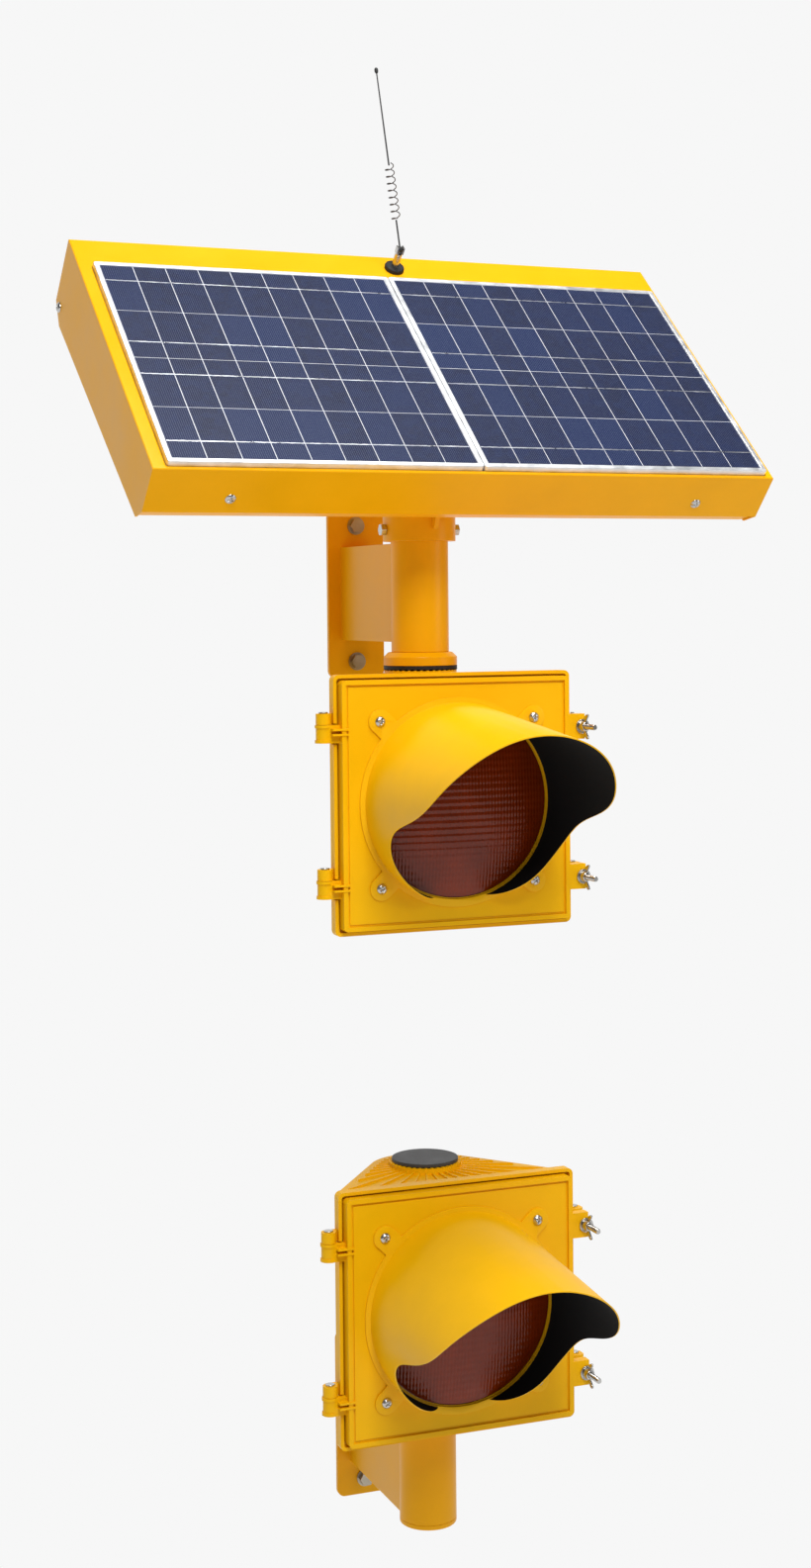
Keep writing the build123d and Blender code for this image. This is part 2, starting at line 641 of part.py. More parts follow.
def make_lid():
    inner_w = BOX_W - 2 * SHEET
    with BuildPart() as lid:
        with BuildSketch(box_side(-BOX_W / 2)):
            add(wedge())
            make_face()
        extrude(amount=BOX_W)
        fillet(lid.faces().sort_by(Axis(LID.origin, NORMAL))[-1].edges(), 1.6)
        with BuildSketch(box_side(-inner_w / 2)):
            with BuildLine():
                Polyline(
                    (BOX_H / 2 - SHEET, -SHEET), (-BOX_H / 2 + SHEET, -SHEET), (-BOX_H / 2 + SHEET, -FRONT_FLANGE),
                    (-BOX_H / 2 - 5, -FRONT_FLANGE), (-BOX_H / 2 - 5, -120), (BOX_H / 2 + 5, -120),
                    (BOX_H / 2 + 5, -REAR_FLANGE), (BOX_H / 2 - SHEET, -REAR_FLANGE), close=True,
                )
            make_face()
        extrude(amount=inner_w, mode=Mode.SUBTRACT)
        with BuildSketch(LID.offset(-SHEET)):
            with Locations((MODULE_X, MODULE_U)):
                RectangleRounded(2 * MODULE_PITCH + 0.6, MODULE_H + 0.8, 3)
            with Locations((ANTENNA_X, ANTENNA_U)):
                Circle(4)
        extrude(amount=SHEET, mode=Mode.SUBTRACT)
    save(lid, "solar_box_lid")


def make_pan():
    """Base pan inside the lid: floor, toe, walls and ends, open to the lid."""
    length = BOX_W - 2 * SHEET - 1
    inset = SHEET + 0.4
    with BuildPart() as base:
        with BuildSketch(box_side(-length / 2)):
            add(wedge(inset))
            make_face()
        extrude(amount=length)
        with BuildSketch(box_side(-length / 2 + SHEET)):
            add(wedge(inset + SHEET, SHEET))
            make_face()
        extrude(amount=length - 2 * SHEET, mode=Mode.SUBTRACT)
        with BuildSketch(LID.offset(-20)):
            Rectangle(BOX_W + 20, BOX_H + 20)
        extrude(amount=40, mode=Mode.SUBTRACT)
        with BuildSketch(level(60)):
            Circle(20)
        extrude(amount=200, mode=Mode.SUBTRACT)
    save(base, "solar_box_pan")


def make_modules():
    """Two framed solar modules that stand through the lid's opening."""
    spots = [(MODULE_X - MODULE_PITCH / 2, MODULE_U), (MODULE_X + MODULE_PITCH / 2, MODULE_U)]
    with BuildPart() as frames:
        with BuildSketch(LID.offset(MODULE_STAND_OUT - MODULE_T)):
            with Locations(*spots):
                RectangleRounded(MODULE_W, MODULE_H, 3)
                Rectangle(MODULE_W - 2 * RAIL_W, MODULE_H - 2 * RAIL_W, mode=Mode.SUBTRACT)
        extrude(amount=MODULE_T)
    save(frames, "solar_module_frames")
    with BuildPart() as panes:
        with BuildSketch(LID.offset(MODULE_STAND_OUT - 5)):
            with Locations(*spots):
                Rectangle(MODULE_W - 2 * RAIL_W, MODULE_H - 2 * RAIL_W)
        extrude(amount=4)
        with BuildSketch(LID.offset(MODULE_STAND_OUT - 5)):
            with Locations(*spots):
                Rectangle(70, 60)
        extrude(amount=-15)
    save(panes, "solar_module_panes")


def make_box_contents():
    with BuildPart() as batteries:
        for x in (-130, 130):
            with BuildSketch(floor_plane(x, 30).offset(SHEET + 0.4)):
                RectangleRounded(150, 98, 3)
            extrude(amount=38)
            with BuildSketch(floor_plane(x, 30).offset(SHEET + 0.4 + 38)):
                with Locations((-55, 36), (-35, 36)):
                    Rectangle(8, 6)
            extrude(amount=5)
    save(batteries, "battery_packs")
    with BuildPart() as controller:
        with BuildSketch(floor_plane(0, 75).offset(SHEET + 0.4)):
            RectangleRounded(86, 80, 3)
        extrude(amount=24)
        with BuildSketch(floor_plane(0, 75).offset(SHEET + 0.4 + 24)):
            with GridLocations(11, 0, 6, 1):
                Rectangle(8, 9)
        extrude(amount=7)
    save(controller, "charge_controller")


def make_lid_screws():
    front = Plane(origin=LID.from_local_coords((0, -BOX_H / 2, 0)), x_dir=LID.x_dir, z_dir=SLOPE * -1)
    with BuildPart() as screws:
        with BuildSketch(front):
            with Locations((-254, -36), (258, -36)):
                Circle(5.6)
        extrude(amount=3, taper=22)
        for side in (-1, 1):
            end = Plane(
                origin=LID.from_local_coords((side * BOX_W / 2, 0, 0)), x_dir=SLOPE, z_dir=LID.x_dir * side
            )
            with BuildSketch(end):
                with Locations((171, -75 * side)):
                    Circle(5.6)
            extrude(amount=3, taper=22)
    save(screws, "lid_screws")


def make_collar():
    """Socket that slips over the post, with a saddle plate under the sloping pan."""
    seat = floor_plane(0, SADDLE_U)
    with BuildPart() as collar:
        with BuildSketch(level(COLLAR_FOOT)):
            Circle(COLLAR_R)
        extrude(amount=170)
        with BuildSketch(seat.offset(-5)):
            RectangleRounded(120, 140, 8)
        extrude(amount=5)
        with BuildSketch(Plane(origin=(0, POST_Y, COLLAR_FOOT + 62), x_dir=BACKWARD, z_dir=(cos(pan), sin(pan), 0))):
            Rectangle(120, 100)
        extrude(amount=2.5, both=True)
        with BuildSketch(seat):
            Rectangle(300, 300)
        extrude(amount=200, mode=Mode.SUBTRACT)
        with BuildSketch(Plane(origin=(0, POST_Y, COLLAR_FOOT), x_dir=BACKWARD, z_dir=(cos(pan), sin(pan), 0))):
            with BuildLine():
                Polyline((-38, 0), (-90, 0), (-90, 60), (-62, 60), close=True)
            make_face()
            with BuildLine():
                Polyline((38, 0), (90, 0), (90, 130), (62, 100), close=True)
            make_face()
        extrude(amount=10, both=True, mode=Mode.SUBTRACT)
        with BuildSketch(level(COLLAR_FOOT)):
            Circle(POST_R + FIT)
        extrude(amount=200, mode=Mode.SUBTRACT)
    save(collar, "box_collar")

    with BuildPart() as screws:
        for side in (-1, 1):
            with BuildSketch(
                Plane(origin=(side * COLLAR_R, POST_Y, COLLAR_FOOT + 12), x_dir=(0, side, 0), z_dir=(side, 0, 0))
            ):
                RegularPolygon(6.5, 6)
            extrude(amount=6)
    save(screws, "collar_set_screws")


def make_antenna():
    base_plane = Plane(
        origin=LID.from_local_coords((ANTENNA_X, ANTENNA_U, 0)), x_dir=LID.x_dir, z_dir=NORMAL
    )
    with BuildPart() as base:
        with BuildSketch(base_plane):
            Circle(10.8)
        extrude(amount=5)
        fillet(base.faces().sort_by(Axis(base_plane.origin, NORMAL))[-1].edges(), 1.8)
    save(base, "antenna_base")

    pivot_v = 26.0
    ears = Plane(origin=base_plane.from_local_coords((0, 0, pivot_v)), x_dir=SLOPE, z_dir=LID.x_dir)
    with BuildPart() as ferrule:
        with BuildSketch(base_plane.offset(5)):
            Circle(4)
        extrude(amount=16)
        with BuildSketch(base_plane.offset(21)):
            with Locations((-3.1, 0), (3.1, 0)):
                Rectangle(1.8, 6.4)
        extrude(amount=8)
        with BuildSketch(ears):
            Circle(1)
        extrude(amount=4, both=True)
    save(ferrule, "antenna_ferrule")

    lean = radians(WHIP_LEAN)
    whip_dir = NORMAL * cos(lean) + SLOPE * sin(lean)
    stem = Plane(origin=ears.origin, x_dir=LID.x_dir, z_dir=whip_dir)
    with BuildPart() as whip:
        with BuildSketch(ears):
            Circle(3)
        extrude(amount=1.9, both=True)
        for start, reach, radius in WHIP_STEPS:
            with BuildSketch(stem.offset(start)):
                Circle(radius)
            extrude(amount=reach)
        with BuildSketch(ears):
            Circle(1 + FIT)
        extrude(amount=3, both=True, mode=Mode.SUBTRACT)
    save(whip, "antenna_whip")


# =============================== build all ===============================

make_head("upper", UPPER_HEAD_Z, 1)
make_head("lower", LOWER_HEAD_Z, -1)
upper_flange_end = make_hub("upper", UPPER_HEAD_Z, 1)
lower_flange_end = make_hub("lower", LOWER_HEAD_Z, -1)
make_bracket("upper", 0.0, 0.0)
make_bracket("lower", LOWER_PLATE_Z, -3.0)
make_post("upper_post", upper_flange_end, UPPER_POST_TOP)
make_post("lower_post", LOWER_POST_END, lower_flange_end)
make_post_cap("lower_post_cap", LOWER_POST_END)
make_lid()
make_pan()
make_modules()
make_box_contents()
make_lid_screws()
make_collar()
make_antenna()
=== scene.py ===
"""Looks of the solar flashing beacon set: finishes, solar cells, prismatic lenses, screws, latches, aerial, stage.

Metres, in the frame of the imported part: +Z up the pole, -Y towards the road.
"""

import json
from math import cos, pi, radians, sin, tau

import bmesh
import bpy
import numpy as np
from bpy.props import FloatProperty, FloatVectorProperty, IntProperty, PointerProperty
from mathutils import Matrix, Vector


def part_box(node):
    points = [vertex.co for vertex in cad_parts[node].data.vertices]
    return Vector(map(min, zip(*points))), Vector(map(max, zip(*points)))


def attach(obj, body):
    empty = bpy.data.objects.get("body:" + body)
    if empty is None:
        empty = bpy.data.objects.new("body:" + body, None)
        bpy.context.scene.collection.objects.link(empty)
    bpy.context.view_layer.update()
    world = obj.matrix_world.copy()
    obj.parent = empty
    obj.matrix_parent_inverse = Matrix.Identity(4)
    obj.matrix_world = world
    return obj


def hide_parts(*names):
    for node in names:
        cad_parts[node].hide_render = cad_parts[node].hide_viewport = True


bl_info = {
    "name": "Solar beacon set",
    "version": (1, 0, 0),
    "blender": (4, 5, 0),
    "location": "View3D > Sidebar > Beacon",
    "description": "Builds the finishes and fine pieces of a solar flashing beacon set around its packed parts",
    "category": "Object",
}

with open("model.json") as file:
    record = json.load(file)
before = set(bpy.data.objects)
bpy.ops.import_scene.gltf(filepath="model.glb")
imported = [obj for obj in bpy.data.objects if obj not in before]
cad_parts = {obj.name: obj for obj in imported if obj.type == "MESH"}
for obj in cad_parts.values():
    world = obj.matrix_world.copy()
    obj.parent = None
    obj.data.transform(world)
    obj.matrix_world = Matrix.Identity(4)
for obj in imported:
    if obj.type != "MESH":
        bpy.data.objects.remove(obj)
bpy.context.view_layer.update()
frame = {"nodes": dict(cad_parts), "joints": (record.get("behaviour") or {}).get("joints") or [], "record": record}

HEADS = ("upper", "lower")
SPOTS = ("top", "bottom")
NODES = frame["nodes"]
JOINTS = {joint["name"]: joint for joint in frame["joints"]}
BODY_OF = {
    node: body for body, nodes in frame["record"]["behaviour"]["bodies"].items() for node in nodes
}
POST_Y = JOINTS["upper_head_aim"]["pos_m"][1]
VISOR_DROOP = radians(5.9)
VISOR_BORE = 0.0992  # inside of the visor's tube that is black
RING_T = 0.0024  # thickness of the visor's ring
MODULE_SEAM = 0.0004  # gap between the two modules
LAMP_FLOOR = 0.0593  # lamp face, in front of the post's axis
WHIP_R, COIL_R = 0.0009, 0.0047

# The camera of the studio view.
CAMERA_PLACE = (-0.88756, -2.40845, -0.00846)
CAMERA_YAW, CAMERA_PITCH, CAMERA_ROLL = radians(21.5), radians(1.77), radians(0.54)
SENSOR, LENS = 36.0, 52.17
PAPER = 0.93  # brightness of the backdrop
AIR = 0.12  # fill from all round
LENS_SHIFT = -0.0721


# =============================== settings ===============================


def colour(name, description, value):
    return FloatVectorProperty(
        name=name, description=description, default=value, size=3, min=0.0, max=1.0, subtype="COLOR"
    )


def length(name, description, value, high=1.0):
    return FloatProperty(name=name, description=description, default=value, min=0.0, max=high, unit="LENGTH")


class BeaconColours(bpy.types.PropertyGroup):
    """Colours a user would change."""

    paint: colour("Paint", "Powder coat of the box, brackets and posts", (0.90, 0.42, 0.0012))
    plastic: colour("Plastic", "Moulded plastic of the housings, doors and visors", (0.90, 0.48, 0.0012))
    lens: colour("Lens", "Tint of the signal lenses", (0.50, 0.055, 0.003))
    black: colour("Black", "Inside of the visors, caps and rubber", (0.006, 0.006, 0.006))
    cell: colour("Solar cell", "Silicon of the solar cells", (0.004, 0.009, 0.045))
    steel: colour("Steel", "Stainless screws and latches", (0.62, 0.61, 0.59))


class BeaconSizes(bpy.types.PropertyGroup):
    """Sizes a user would change."""

    edge: length("Edge rounding", "Width of the small bevel on moulded and folded edges", 0.0006)
    cell_gap: length("Cell gap", "White gap between solar cells", 0.0009)
    ribbon: length("Ribbon width", "Width of the ribbon that joins the cells of a row", 0.0013)
    wire: length("Coil wire", "Radius of the aerial's coil wire", 0.00055)
    pitch: length("Thread pitch", "Pitch of the eyebolts' threads", 0.00127)
    prism_w: length("Prism width", "Width of one lens prism", 0.0036)
    prism_h: length("Prism height", "Height of one lens prism", 0.0068)
    prism_depth: length("Prism depth", "Depth of the lens prisms", 0.0007)
    coil_turns: IntProperty(name="Coil turns", description="Turns of the aerial's coil", default=8, min=1)
    columns: IntProperty(name="Cell columns", description="Solar cells across one module", default=9, min=1)
    rows: IntProperty(name="Cell rows", description="Solar cells up one module", default=4, min=1)


# =============================== finishes ===============================


class Shader:
    """A material under construction: one Principled shader and the nodes that feed it."""

    def __init__(self, name, **constants):
        self.material = bpy.data.materials.new(name)
        self.material.use_nodes = True
        self.nodes = self.material.node_tree.nodes
        self.links = self.material.node_tree.links
        self.main = self.nodes["Principled BSDF"]
        self.place = self.nodes.new("ShaderNodeTexCoord").outputs["Object"]
        for socket, value in constants.items():
            self.main.inputs[socket.replace("_", " ")].default_value = value

    def add(self, kind, inputs=(), **settings):
        node = self.nodes.new(kind)
        for key, value in settings.items():
            setattr(node, key, value)
        for key, value in dict(inputs).items():
            if isinstance(value, bpy.types.NodeSocket):
                self.links.new(value, node.inputs[key])
            else:
                node.inputs[key].default_value = value
        return node

    def noise(self, scale, detail=2.0, rough=0.5, where=None):
        inputs = {"Vector": where or self.place, "Scale": scale, "Detail": detail, "Roughness": rough}
        return self.add("ShaderNodeTexNoise", inputs).outputs["Fac"]

    def span(self, value, low, high, from_low=0.3, from_high=0.7):
        inputs = {"Value": value, "From Min": from_low, "From Max": from_high, "To Min": low, "To Max": high}
        return self.add("ShaderNodeMapRange", inputs).outputs["Result"]

    def blend(self, factor, first, second):
        node = self.add("ShaderNodeMix", data_type="RGBA")
        for index, value in ((0, factor), (6, first), (7, second)):
            if isinstance(value, bpy.types.NodeSocket):
                self.links.new(value, node.inputs[index])
            else:
                node.inputs[index].default_value = value if index == 0 else (*value[:3], 1.0)
        return node.outputs[2]

    def maths(self, operation, first, second=0.0):
        return self.add("ShaderNodeMath", {0: first, 1: second}, operation=operation).outputs[0]

    def bump(self, height, strength, distance, after=None):
        inputs = {"Height": height, "Strength": strength, "Distance": distance}
        if after is not None:
            inputs["Normal"] = after
        return self.add("ShaderNodeBump", inputs).outputs["Normal"]

    def set(self, socket, value):
        self.links.new(value, self.main.inputs[socket])


def darker(tone, share):
    return tuple(channel * share for channel in tone)


def coated_finish(name, tone, grain, roughness, coat=0.0):
    """Paint or moulded colour with a fine skin, faint mottling and dust."""
    shader = Shader(name, Coat_Weight=coat, Coat_Roughness=0.12, Specular_IOR_Level=0.12)
    mottle = shader.noise(14.0, 4.0, 0.6)
    speck = shader.noise(grain, 3.0, 0.7)
    body = shader.blend(shader.span(mottle, 0.0, 1.0), darker(tone, 0.93), tone)
    shader.set("Base Color", shader.blend(shader.span(speck, 0.0, 0.16, 0.45, 0.75), body, darker(tone, 0.72)))
    shader.set("Roughness", shader.span(mottle, roughness - 0.05, roughness + 0.07))
    peel = shader.bump(shader.noise(grain * 0.45, 2.0), 0.25, 0.00012)
    shader.set("Normal", shader.bump(speck, 0.22, 0.00006, peel))
    return shader


def visor_finish(name, tone, black, origin, axis, wall, front_y):
    """Coloured outside and matt black inside a tube around the axis, in front of its ring."""
    shader = coated_finish(name, tone, 1500.0, 0.34, 0.15)
    arm = shader.add("ShaderNodeVectorMath", {0: shader.place, 1: origin}, operation="SUBTRACT").outputs[0]
    cross = shader.add("ShaderNodeVectorMath", {0: arm, 1: axis}, operation="CROSS_PRODUCT").outputs[0]
    reach = shader.add("ShaderNodeVectorMath", {0: cross}, operation="LENGTH").outputs["Value"]
    depth = shader.add("ShaderNodeSeparateXYZ", {0: shader.place}).outputs["Y"]
    inner = shader.maths("LESS_THAN", reach, wall)
    ahead = shader.maths("LESS_THAN", depth, front_y)
    inside = shader.maths("MULTIPLY", inner, ahead)
    old_colour = shader.main.inputs["Base Color"].links[0].from_socket
    shader.set("Base Color", shader.blend(inside, old_colour, black))
    old_rough = shader.main.inputs["Roughness"].links[0].from_socket
    dull = shader.add("ShaderNodeMix", {0: inside, 2: old_rough, 3: 0.85}, data_type="FLOAT").outputs[0]
    shader.set("Roughness", dull)
    shader.main.inputs["Coat Weight"].default_value = 0.0
    shader.main.inputs["Specular IOR Level"].default_value = 0.16
    return shader.material


def metal_finish(name, tone, roughness, brushed=0.0):
    shader = Shader(name, Metallic=1.0)
    smudge = shader.noise(60.0, 4.0, 0.65)
    fine = shader.noise(1400.0, 2.0)
    shader.set("Base Color", shader.blend(shader.span(smudge, 0.0, 1.0), darker(tone, 0.78), tone))
    shader.set("Roughness", shader.span(smudge, roughness - 0.06, roughness + 0.12))
    shader.set("Normal", shader.bump(fine, 0.12 + brushed, 0.00004))
    return shader.material


def dark_finish(name, tone, roughness, grain=900.0):
    shader = Shader(name, Specular_IOR_Level=0.4)
    dust = shader.noise(35.0, 5.0, 0.7)
    pits = shader.noise(grain, 2.0)
    shader.set("Base Color", shader.blend(shader.span(dust, 0.0, 0.35, 0.45, 0.8), tone, (0.09, 0.09, 0.09)))
    shader.set("Roughness", shader.span(dust, roughness - 0.06, roughness + 0.1))
    shader.set("Normal", shader.bump(pits, 0.3, 0.00015))
    return shader.material


def lens_finish(name, tone):
    shader = Shader(name, Roughness=0.1, IOR=1.49, Transmission_Weight=0.5, Specular_IOR_Level=0.22)
    haze = shader.noise(22.0, 3.0)
    shader.set("Base Color", shader.blend(shader.span(haze, 0.0, 1.0), darker(tone, 0.7), tone))
    shader.set("Normal", shader.bump(shader.noise(420.0, 2.0), 0.08, 0.0001))
    return shader.material


def cell_finish(name, tone, along):
    """Polycrystalline silicon under glass: grains, a tone for each cell and fine printed fingers."""
    shader = Shader(name, Roughness=0.4, Coat_Weight=0.35, Coat_Roughness=0.05,
                    Specular_IOR_Level=0.2)
    shade = shader.add("ShaderNodeAttribute", attribute_name="tone").outputs["Fac"]
    grains = shader.add("ShaderNodeTexVoronoi", {"Vector": shader.place, "Scale": 130.0}, feature="F1")
    grain = shader.add("ShaderNodeSeparateColor", {0: grains.outputs["Color"]}).outputs[0]
    violet = (tone[0] * 1.7, tone[1] * 0.95, tone[2] * 0.85)
    bright = (tone[0] * 1.3, tone[1] * 1.7, tone[2] * 1.5)
    base = shader.blend(shade, darker(tone, 0.75), shader.blend(shade, violet, bright))
    base = shader.blend(shader.span(grain, 0.0, 0.5, 0.0, 1.0), base, bright)
    run = shader.add("ShaderNodeVectorMath", {0: shader.place, 1: along}, operation="DOT_PRODUCT").outputs["Value"]
    finger = shader.maths("PINGPONG", run, 0.0011)
    line = shader.maths("LESS_THAN", finger, 0.00012)
    base = shader.blend(shader.maths("MULTIPLY", line, 0.4), base, (0.30, 0.34, 0.45))
    shader.set("Base Color", base)
    shader.set("Normal", shader.bump(grain, 0.05, 0.00005))
    return shader.material


class Finishes:
    """Every material of the object, made once from the settings."""

    made = {}

    @classmethod
    def get(cls, name):
        if not cls.made:
            cls.build()
        return cls.made[name]

    @classmethod
    def build(cls):
        tones = bpy.context.scene.beacon_colours
        paint, plastic = tuple(tones.paint), tuple(tones.plastic)
        black, steel = tuple(tones.black), tuple(tones.steel)
        made = cls.made
        made["paint"] = coated_finish("yellow powder coat", paint, 1100.0, 0.34, 0.06).material
        made["plastic"] = coated_finish("yellow moulded plastic", plastic, 1500.0, 0.38, 0.03).material
        for head in HEADS:
            mid = head_middle(head)
            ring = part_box(f"{head}_visor")[1].y
            axis = (0.0, -cos(VISOR_DROOP), -sin(VISOR_DROOP))
            made[f"{head}_visor"] = visor_finish(
                f"{head} visor skin", plastic, black, (0.0, ring, mid), axis, VISOR_BORE, ring - RING_T
            )
        made["lens"] = lens_finish("amber prismatic lens", tuple(tones.lens))
        made["steel"] = metal_finish("stainless steel", steel, 0.24)
        made["zinc"] = metal_finish("zinc plated steel", (0.50, 0.44, 0.34), 0.34, 0.1)
        made["spring wire"] = metal_finish("spring wire", (0.13, 0.12, 0.12), 0.35)
        made["frame"] = metal_finish("anodised frame", (0.86, 0.87, 0.89), 0.42, 0.15)
        made["reflector"] = metal_finish("lamp reflector", (0.82, 0.80, 0.76), 0.28)
        made["rubber"] = dark_finish("black rubber", black, 0.6)
        made["dark plastic"] = dark_finish("dark grey plastic", (0.045, 0.047, 0.05), 0.5, 1300.0)
        made["battery"] = dark_finish("battery case", (0.04, 0.05, 0.08), 0.45)
        made["controller"] = dark_finish("controller case", (0.03, 0.10, 0.05), 0.45)
        made["diode"] = dark_finish("light emitting diodes", (0.55, 0.30, 0.04), 0.2)
        sheet = coated_finish("white back sheet under glass", (0.80, 0.82, 0.86), 700.0, 0.35, 1.0)
        made["backsheet"] = sheet.material
        made["cell"] = cell_finish("solar cell", tuple(tones.cell), Panel.axes()[0])
        made["ribbon"] = metal_finish("tinned ribbon", (0.80, 0.82, 0.86), 0.3, 0.3)


# =============================== places ===============================


def head_middle(head):
    return JOINTS[f"{head}_head_aim"]["pos_m"][2]


def latch_height(head, spot):
    return JOINTS[f"{head}_{spot}_eyebolt_swing"]["pos_m"][2]


class Panel:
    """The solar modules' plane, read from the glass panes: right, up the slope and outward."""

    @staticmethod
    def axes():
        mesh = NODES["solar_module_panes"].data
        right = Vector(JOINTS["antenna_tilt"]["axis"]).normalized()
        upward = [face for face in mesh.polygons if face.normal.z > 0.5]
        outward = max(upward, key=lambda face: face.area).normal.normalized()
        outward = (outward - right * outward.dot(right)).normalized()
        return right, outward.cross(right).normalized(), outward

    @classmethod
    def span(cls):
        """Lowest and highest right, slope and outward coordinates of the panes."""
        turn = Matrix(cls.axes())
        places = np.array([turn @ vertex.co for vertex in NODES["solar_module_panes"].data.vertices])
        return places.min(axis=0), places.max(axis=0)

    @classmethod
    def matrix(cls):
        """From panel coordinates, centred on the panes' outer face, to the frame."""
        low, high = cls.span()
        turn = Matrix(cls.axes()).transposed()
        centre = turn @ Vector(((low[0] + high[0]) / 2, (low[1] + high[1]) / 2, high[2]))
        return Matrix.Translation(centre) @ turn.to_4x4()


def aimed(place, outward, up=(0.0, 0.0, 1.0)):
    """Matrix that puts local +Z along outward at the place, with local +Y near up."""
    z_axis = Vector(outward).normalized()
    x_axis = Vector(up).cross(z_axis).normalized()
    y_axis = z_axis.cross(x_axis)
    return Matrix.Translation(Vector(place)) @ Matrix((x_axis, y_axis, z_axis)).transposed().to_4x4()


def clusters(node, reach):
    """Centres of a node's separate solids, which stand further apart than reach."""
    groups = []
    for vertex in NODES[node].data.vertices:
        for group in groups:
            if (group[0] - vertex.co).length < reach:
                group.append(vertex.co.copy())
                break
        else:
            groups.append([vertex.co.copy()])
    centres = []
    for group in groups:
        points = np.array(group)
        centres.append(Vector((points.min(axis=0) + points.max(axis=0)) / 2))
    return centres


# =============================== shapes ===============================


def bridged(rings, segments):
    """Faces between neighbouring rings, closed to a point where a ring is one vertex."""
    faces = []
    for low, high in zip(rings, rings[1:]):
        for i in range(segments):
            j = (i + 1) % segments
            corners = [low[i % len(low)], low[j % len(low)], high[j % len(high)], high[i % len(high)]]
            faces.append(list(dict.fromkeys(corners)))
    return [face for face in faces if len(face) > 2]


def lathe(profile, segments=32):
    """Vertices and faces of a (radius, height) profile turned around local Z."""
    points, rings = [], []
    for radius, height in profile:
        count = 1 if radius == 0 else segments
        rings.append(range(len(points), len(points) + count))
        points += [(radius * cos(tau * i / segments), radius * sin(tau * i / segments), height) for i in range(count)]
    return points, bridged(rings, segments)


def slab(outline, thickness):
    """Flat plate of an (x, y) outline, centred on local z = 0."""
    count = len(outline)
    points = [(x, y, side * thickness / 2) for side in (-1, 1) for x, y in outline]
    faces = [list(range(count))[::-1], list(range(count, 2 * count))]
    faces += [[i, (i + 1) % count, count + (i + 1) % count, count + i] for i in range(count)]
    return points, faces


def moved(shape, matrix):
    points, faces = shape
    return [tuple(matrix @ Vector(point)) for point in points], faces


def thread(radius, start, end, pitch, segments=20):
    """Rod with a helical thread from start to end along local Z."""
    depth = 0.55 * pitch
    steps = int((end - start) / pitch * 4)
    points = [(0.0, 0.0, start)]
    for step in range(steps + 1):
        height = start + (end - start) * step / steps
        fade = min(1.0, (end - height) / pitch, (height - start) / pitch + 0.2)
        for i in range(segments):
            turn = (height / pitch - i / segments) % 1.0
            ridge = abs(turn * 2 - 1) * max(fade, 0.0)
            reach = radius - depth * (1 - ridge)
            points.append((reach * cos(tau * i / segments), reach * sin(tau * i / segments), height))
    points.append((0.0, 0.0, end))
    faces = [[0, 1 + (i + 1) % segments, 1 + i] for i in range(segments)]
    for step in range(steps):
        low = 1 + step * segments
        for i in range(segments):
            j = (i + 1) % segments
            faces.append([low + i, low + j, low + segments + j, low + segments + i])
    last, tip = 1 + steps * segments, len(points) - 1
    faces += [[last + i, last + (i + 1) % segments, tip] for i in range(segments)]
    return points, faces


def new_mesh(name, shapes, crease=35.0, outward=True):
    """One mesh of several shapes, facing outward and smooth except at creases."""
    points, faces = [], []
    for shape_points, shape_faces in shapes:
        start = len(points)
        points += shape_points
        faces += [[start + i for i in face] for face in shape_faces]
    mesh = bpy.data.meshes.new(name)
    mesh.from_pydata(points, [], faces)
    tidy_mesh(mesh, crease, outward)
    return mesh


def tidy_mesh(mesh, crease, outward=True):
    work = bmesh.new()
    work.from_mesh(mesh)
    if outward:
        bmesh.ops.recalc_face_normals(work, faces=work.faces)
    work.to_mesh(mesh)
    work.free()
    mesh.polygons.foreach_set("use_smooth", [True] * len(mesh.polygons))
    mesh.set_sharp_from_angle(angle=radians(crease))


def show(name, mesh, finish, body, replaced=()):
    """Puts a finished mesh on its body, in place of the CAD nodes it stands for."""
    piece = bpy.data.objects.new(name, mesh)
    bpy.context.scene.collection.objects.link(piece)
    if finish is not None:
        mesh.materials.clear()
        mesh.materials.append(Finishes.get(finish))
    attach(piece, body)
    if replaced:
        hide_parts(*replaced)
    return piece


def settled(piece):
    """The piece's mesh with its modifiers applied."""
    graph = bpy.context.evaluated_depsgraph_get()
    mesh = bpy.data.meshes.new_from_object(piece.evaluated_get(graph))
    bpy.data.objects.remove(piece)
    return mesh


def rounded_copy(node, finish, width=None, crease=30.0, flat=True):
    """Copy of a CAD node with small bevels on its sharp edges, shown in its place."""
    mesh = NODES[node].data.copy()
    mesh.name = f"{node}_skin"
    work = bmesh.new()
    work.from_mesh(mesh)
    bmesh.ops.remove_doubles(work, verts=work.verts, dist=2e-6)
    bmesh.ops.dissolve_limit(
        work, angle_limit=radians(0.4), use_dissolve_boundaries=False, verts=work.verts, edges=work.edges
    )
    work.to_mesh(mesh)
    work.free()
    if "custom_normal" in mesh.attributes:
        mesh.attributes.remove(mesh.attributes["custom_normal"])
    mesh.polygons.foreach_set("use_smooth", [True] * len(mesh.polygons))
    mesh.set_sharp_from_angle(angle=radians(crease))
    draft = bpy.data.objects.new("draft", mesh)
    bpy.context.scene.collection.objects.link(draft)
    bevel = draft.modifiers.new("bevel", "BEVEL")
    bevel.width = width or bpy.context.scene.beacon_sizes.edge
    bevel.segments = 2
    bevel.limit_method = "ANGLE"
    bevel.angle_limit = radians(crease)
    bevel.harden_normals = flat
    result = settled(draft)
    result.name = f"{node}_skin"
    if not flat:
        result.polygons.foreach_set("use_smooth", [True] * len(result.polygons))
        result.set_sharp_from_angle(angle=radians(38))
    return show(f"{node}_skin", result, finish, BODY_OF[node], [node])


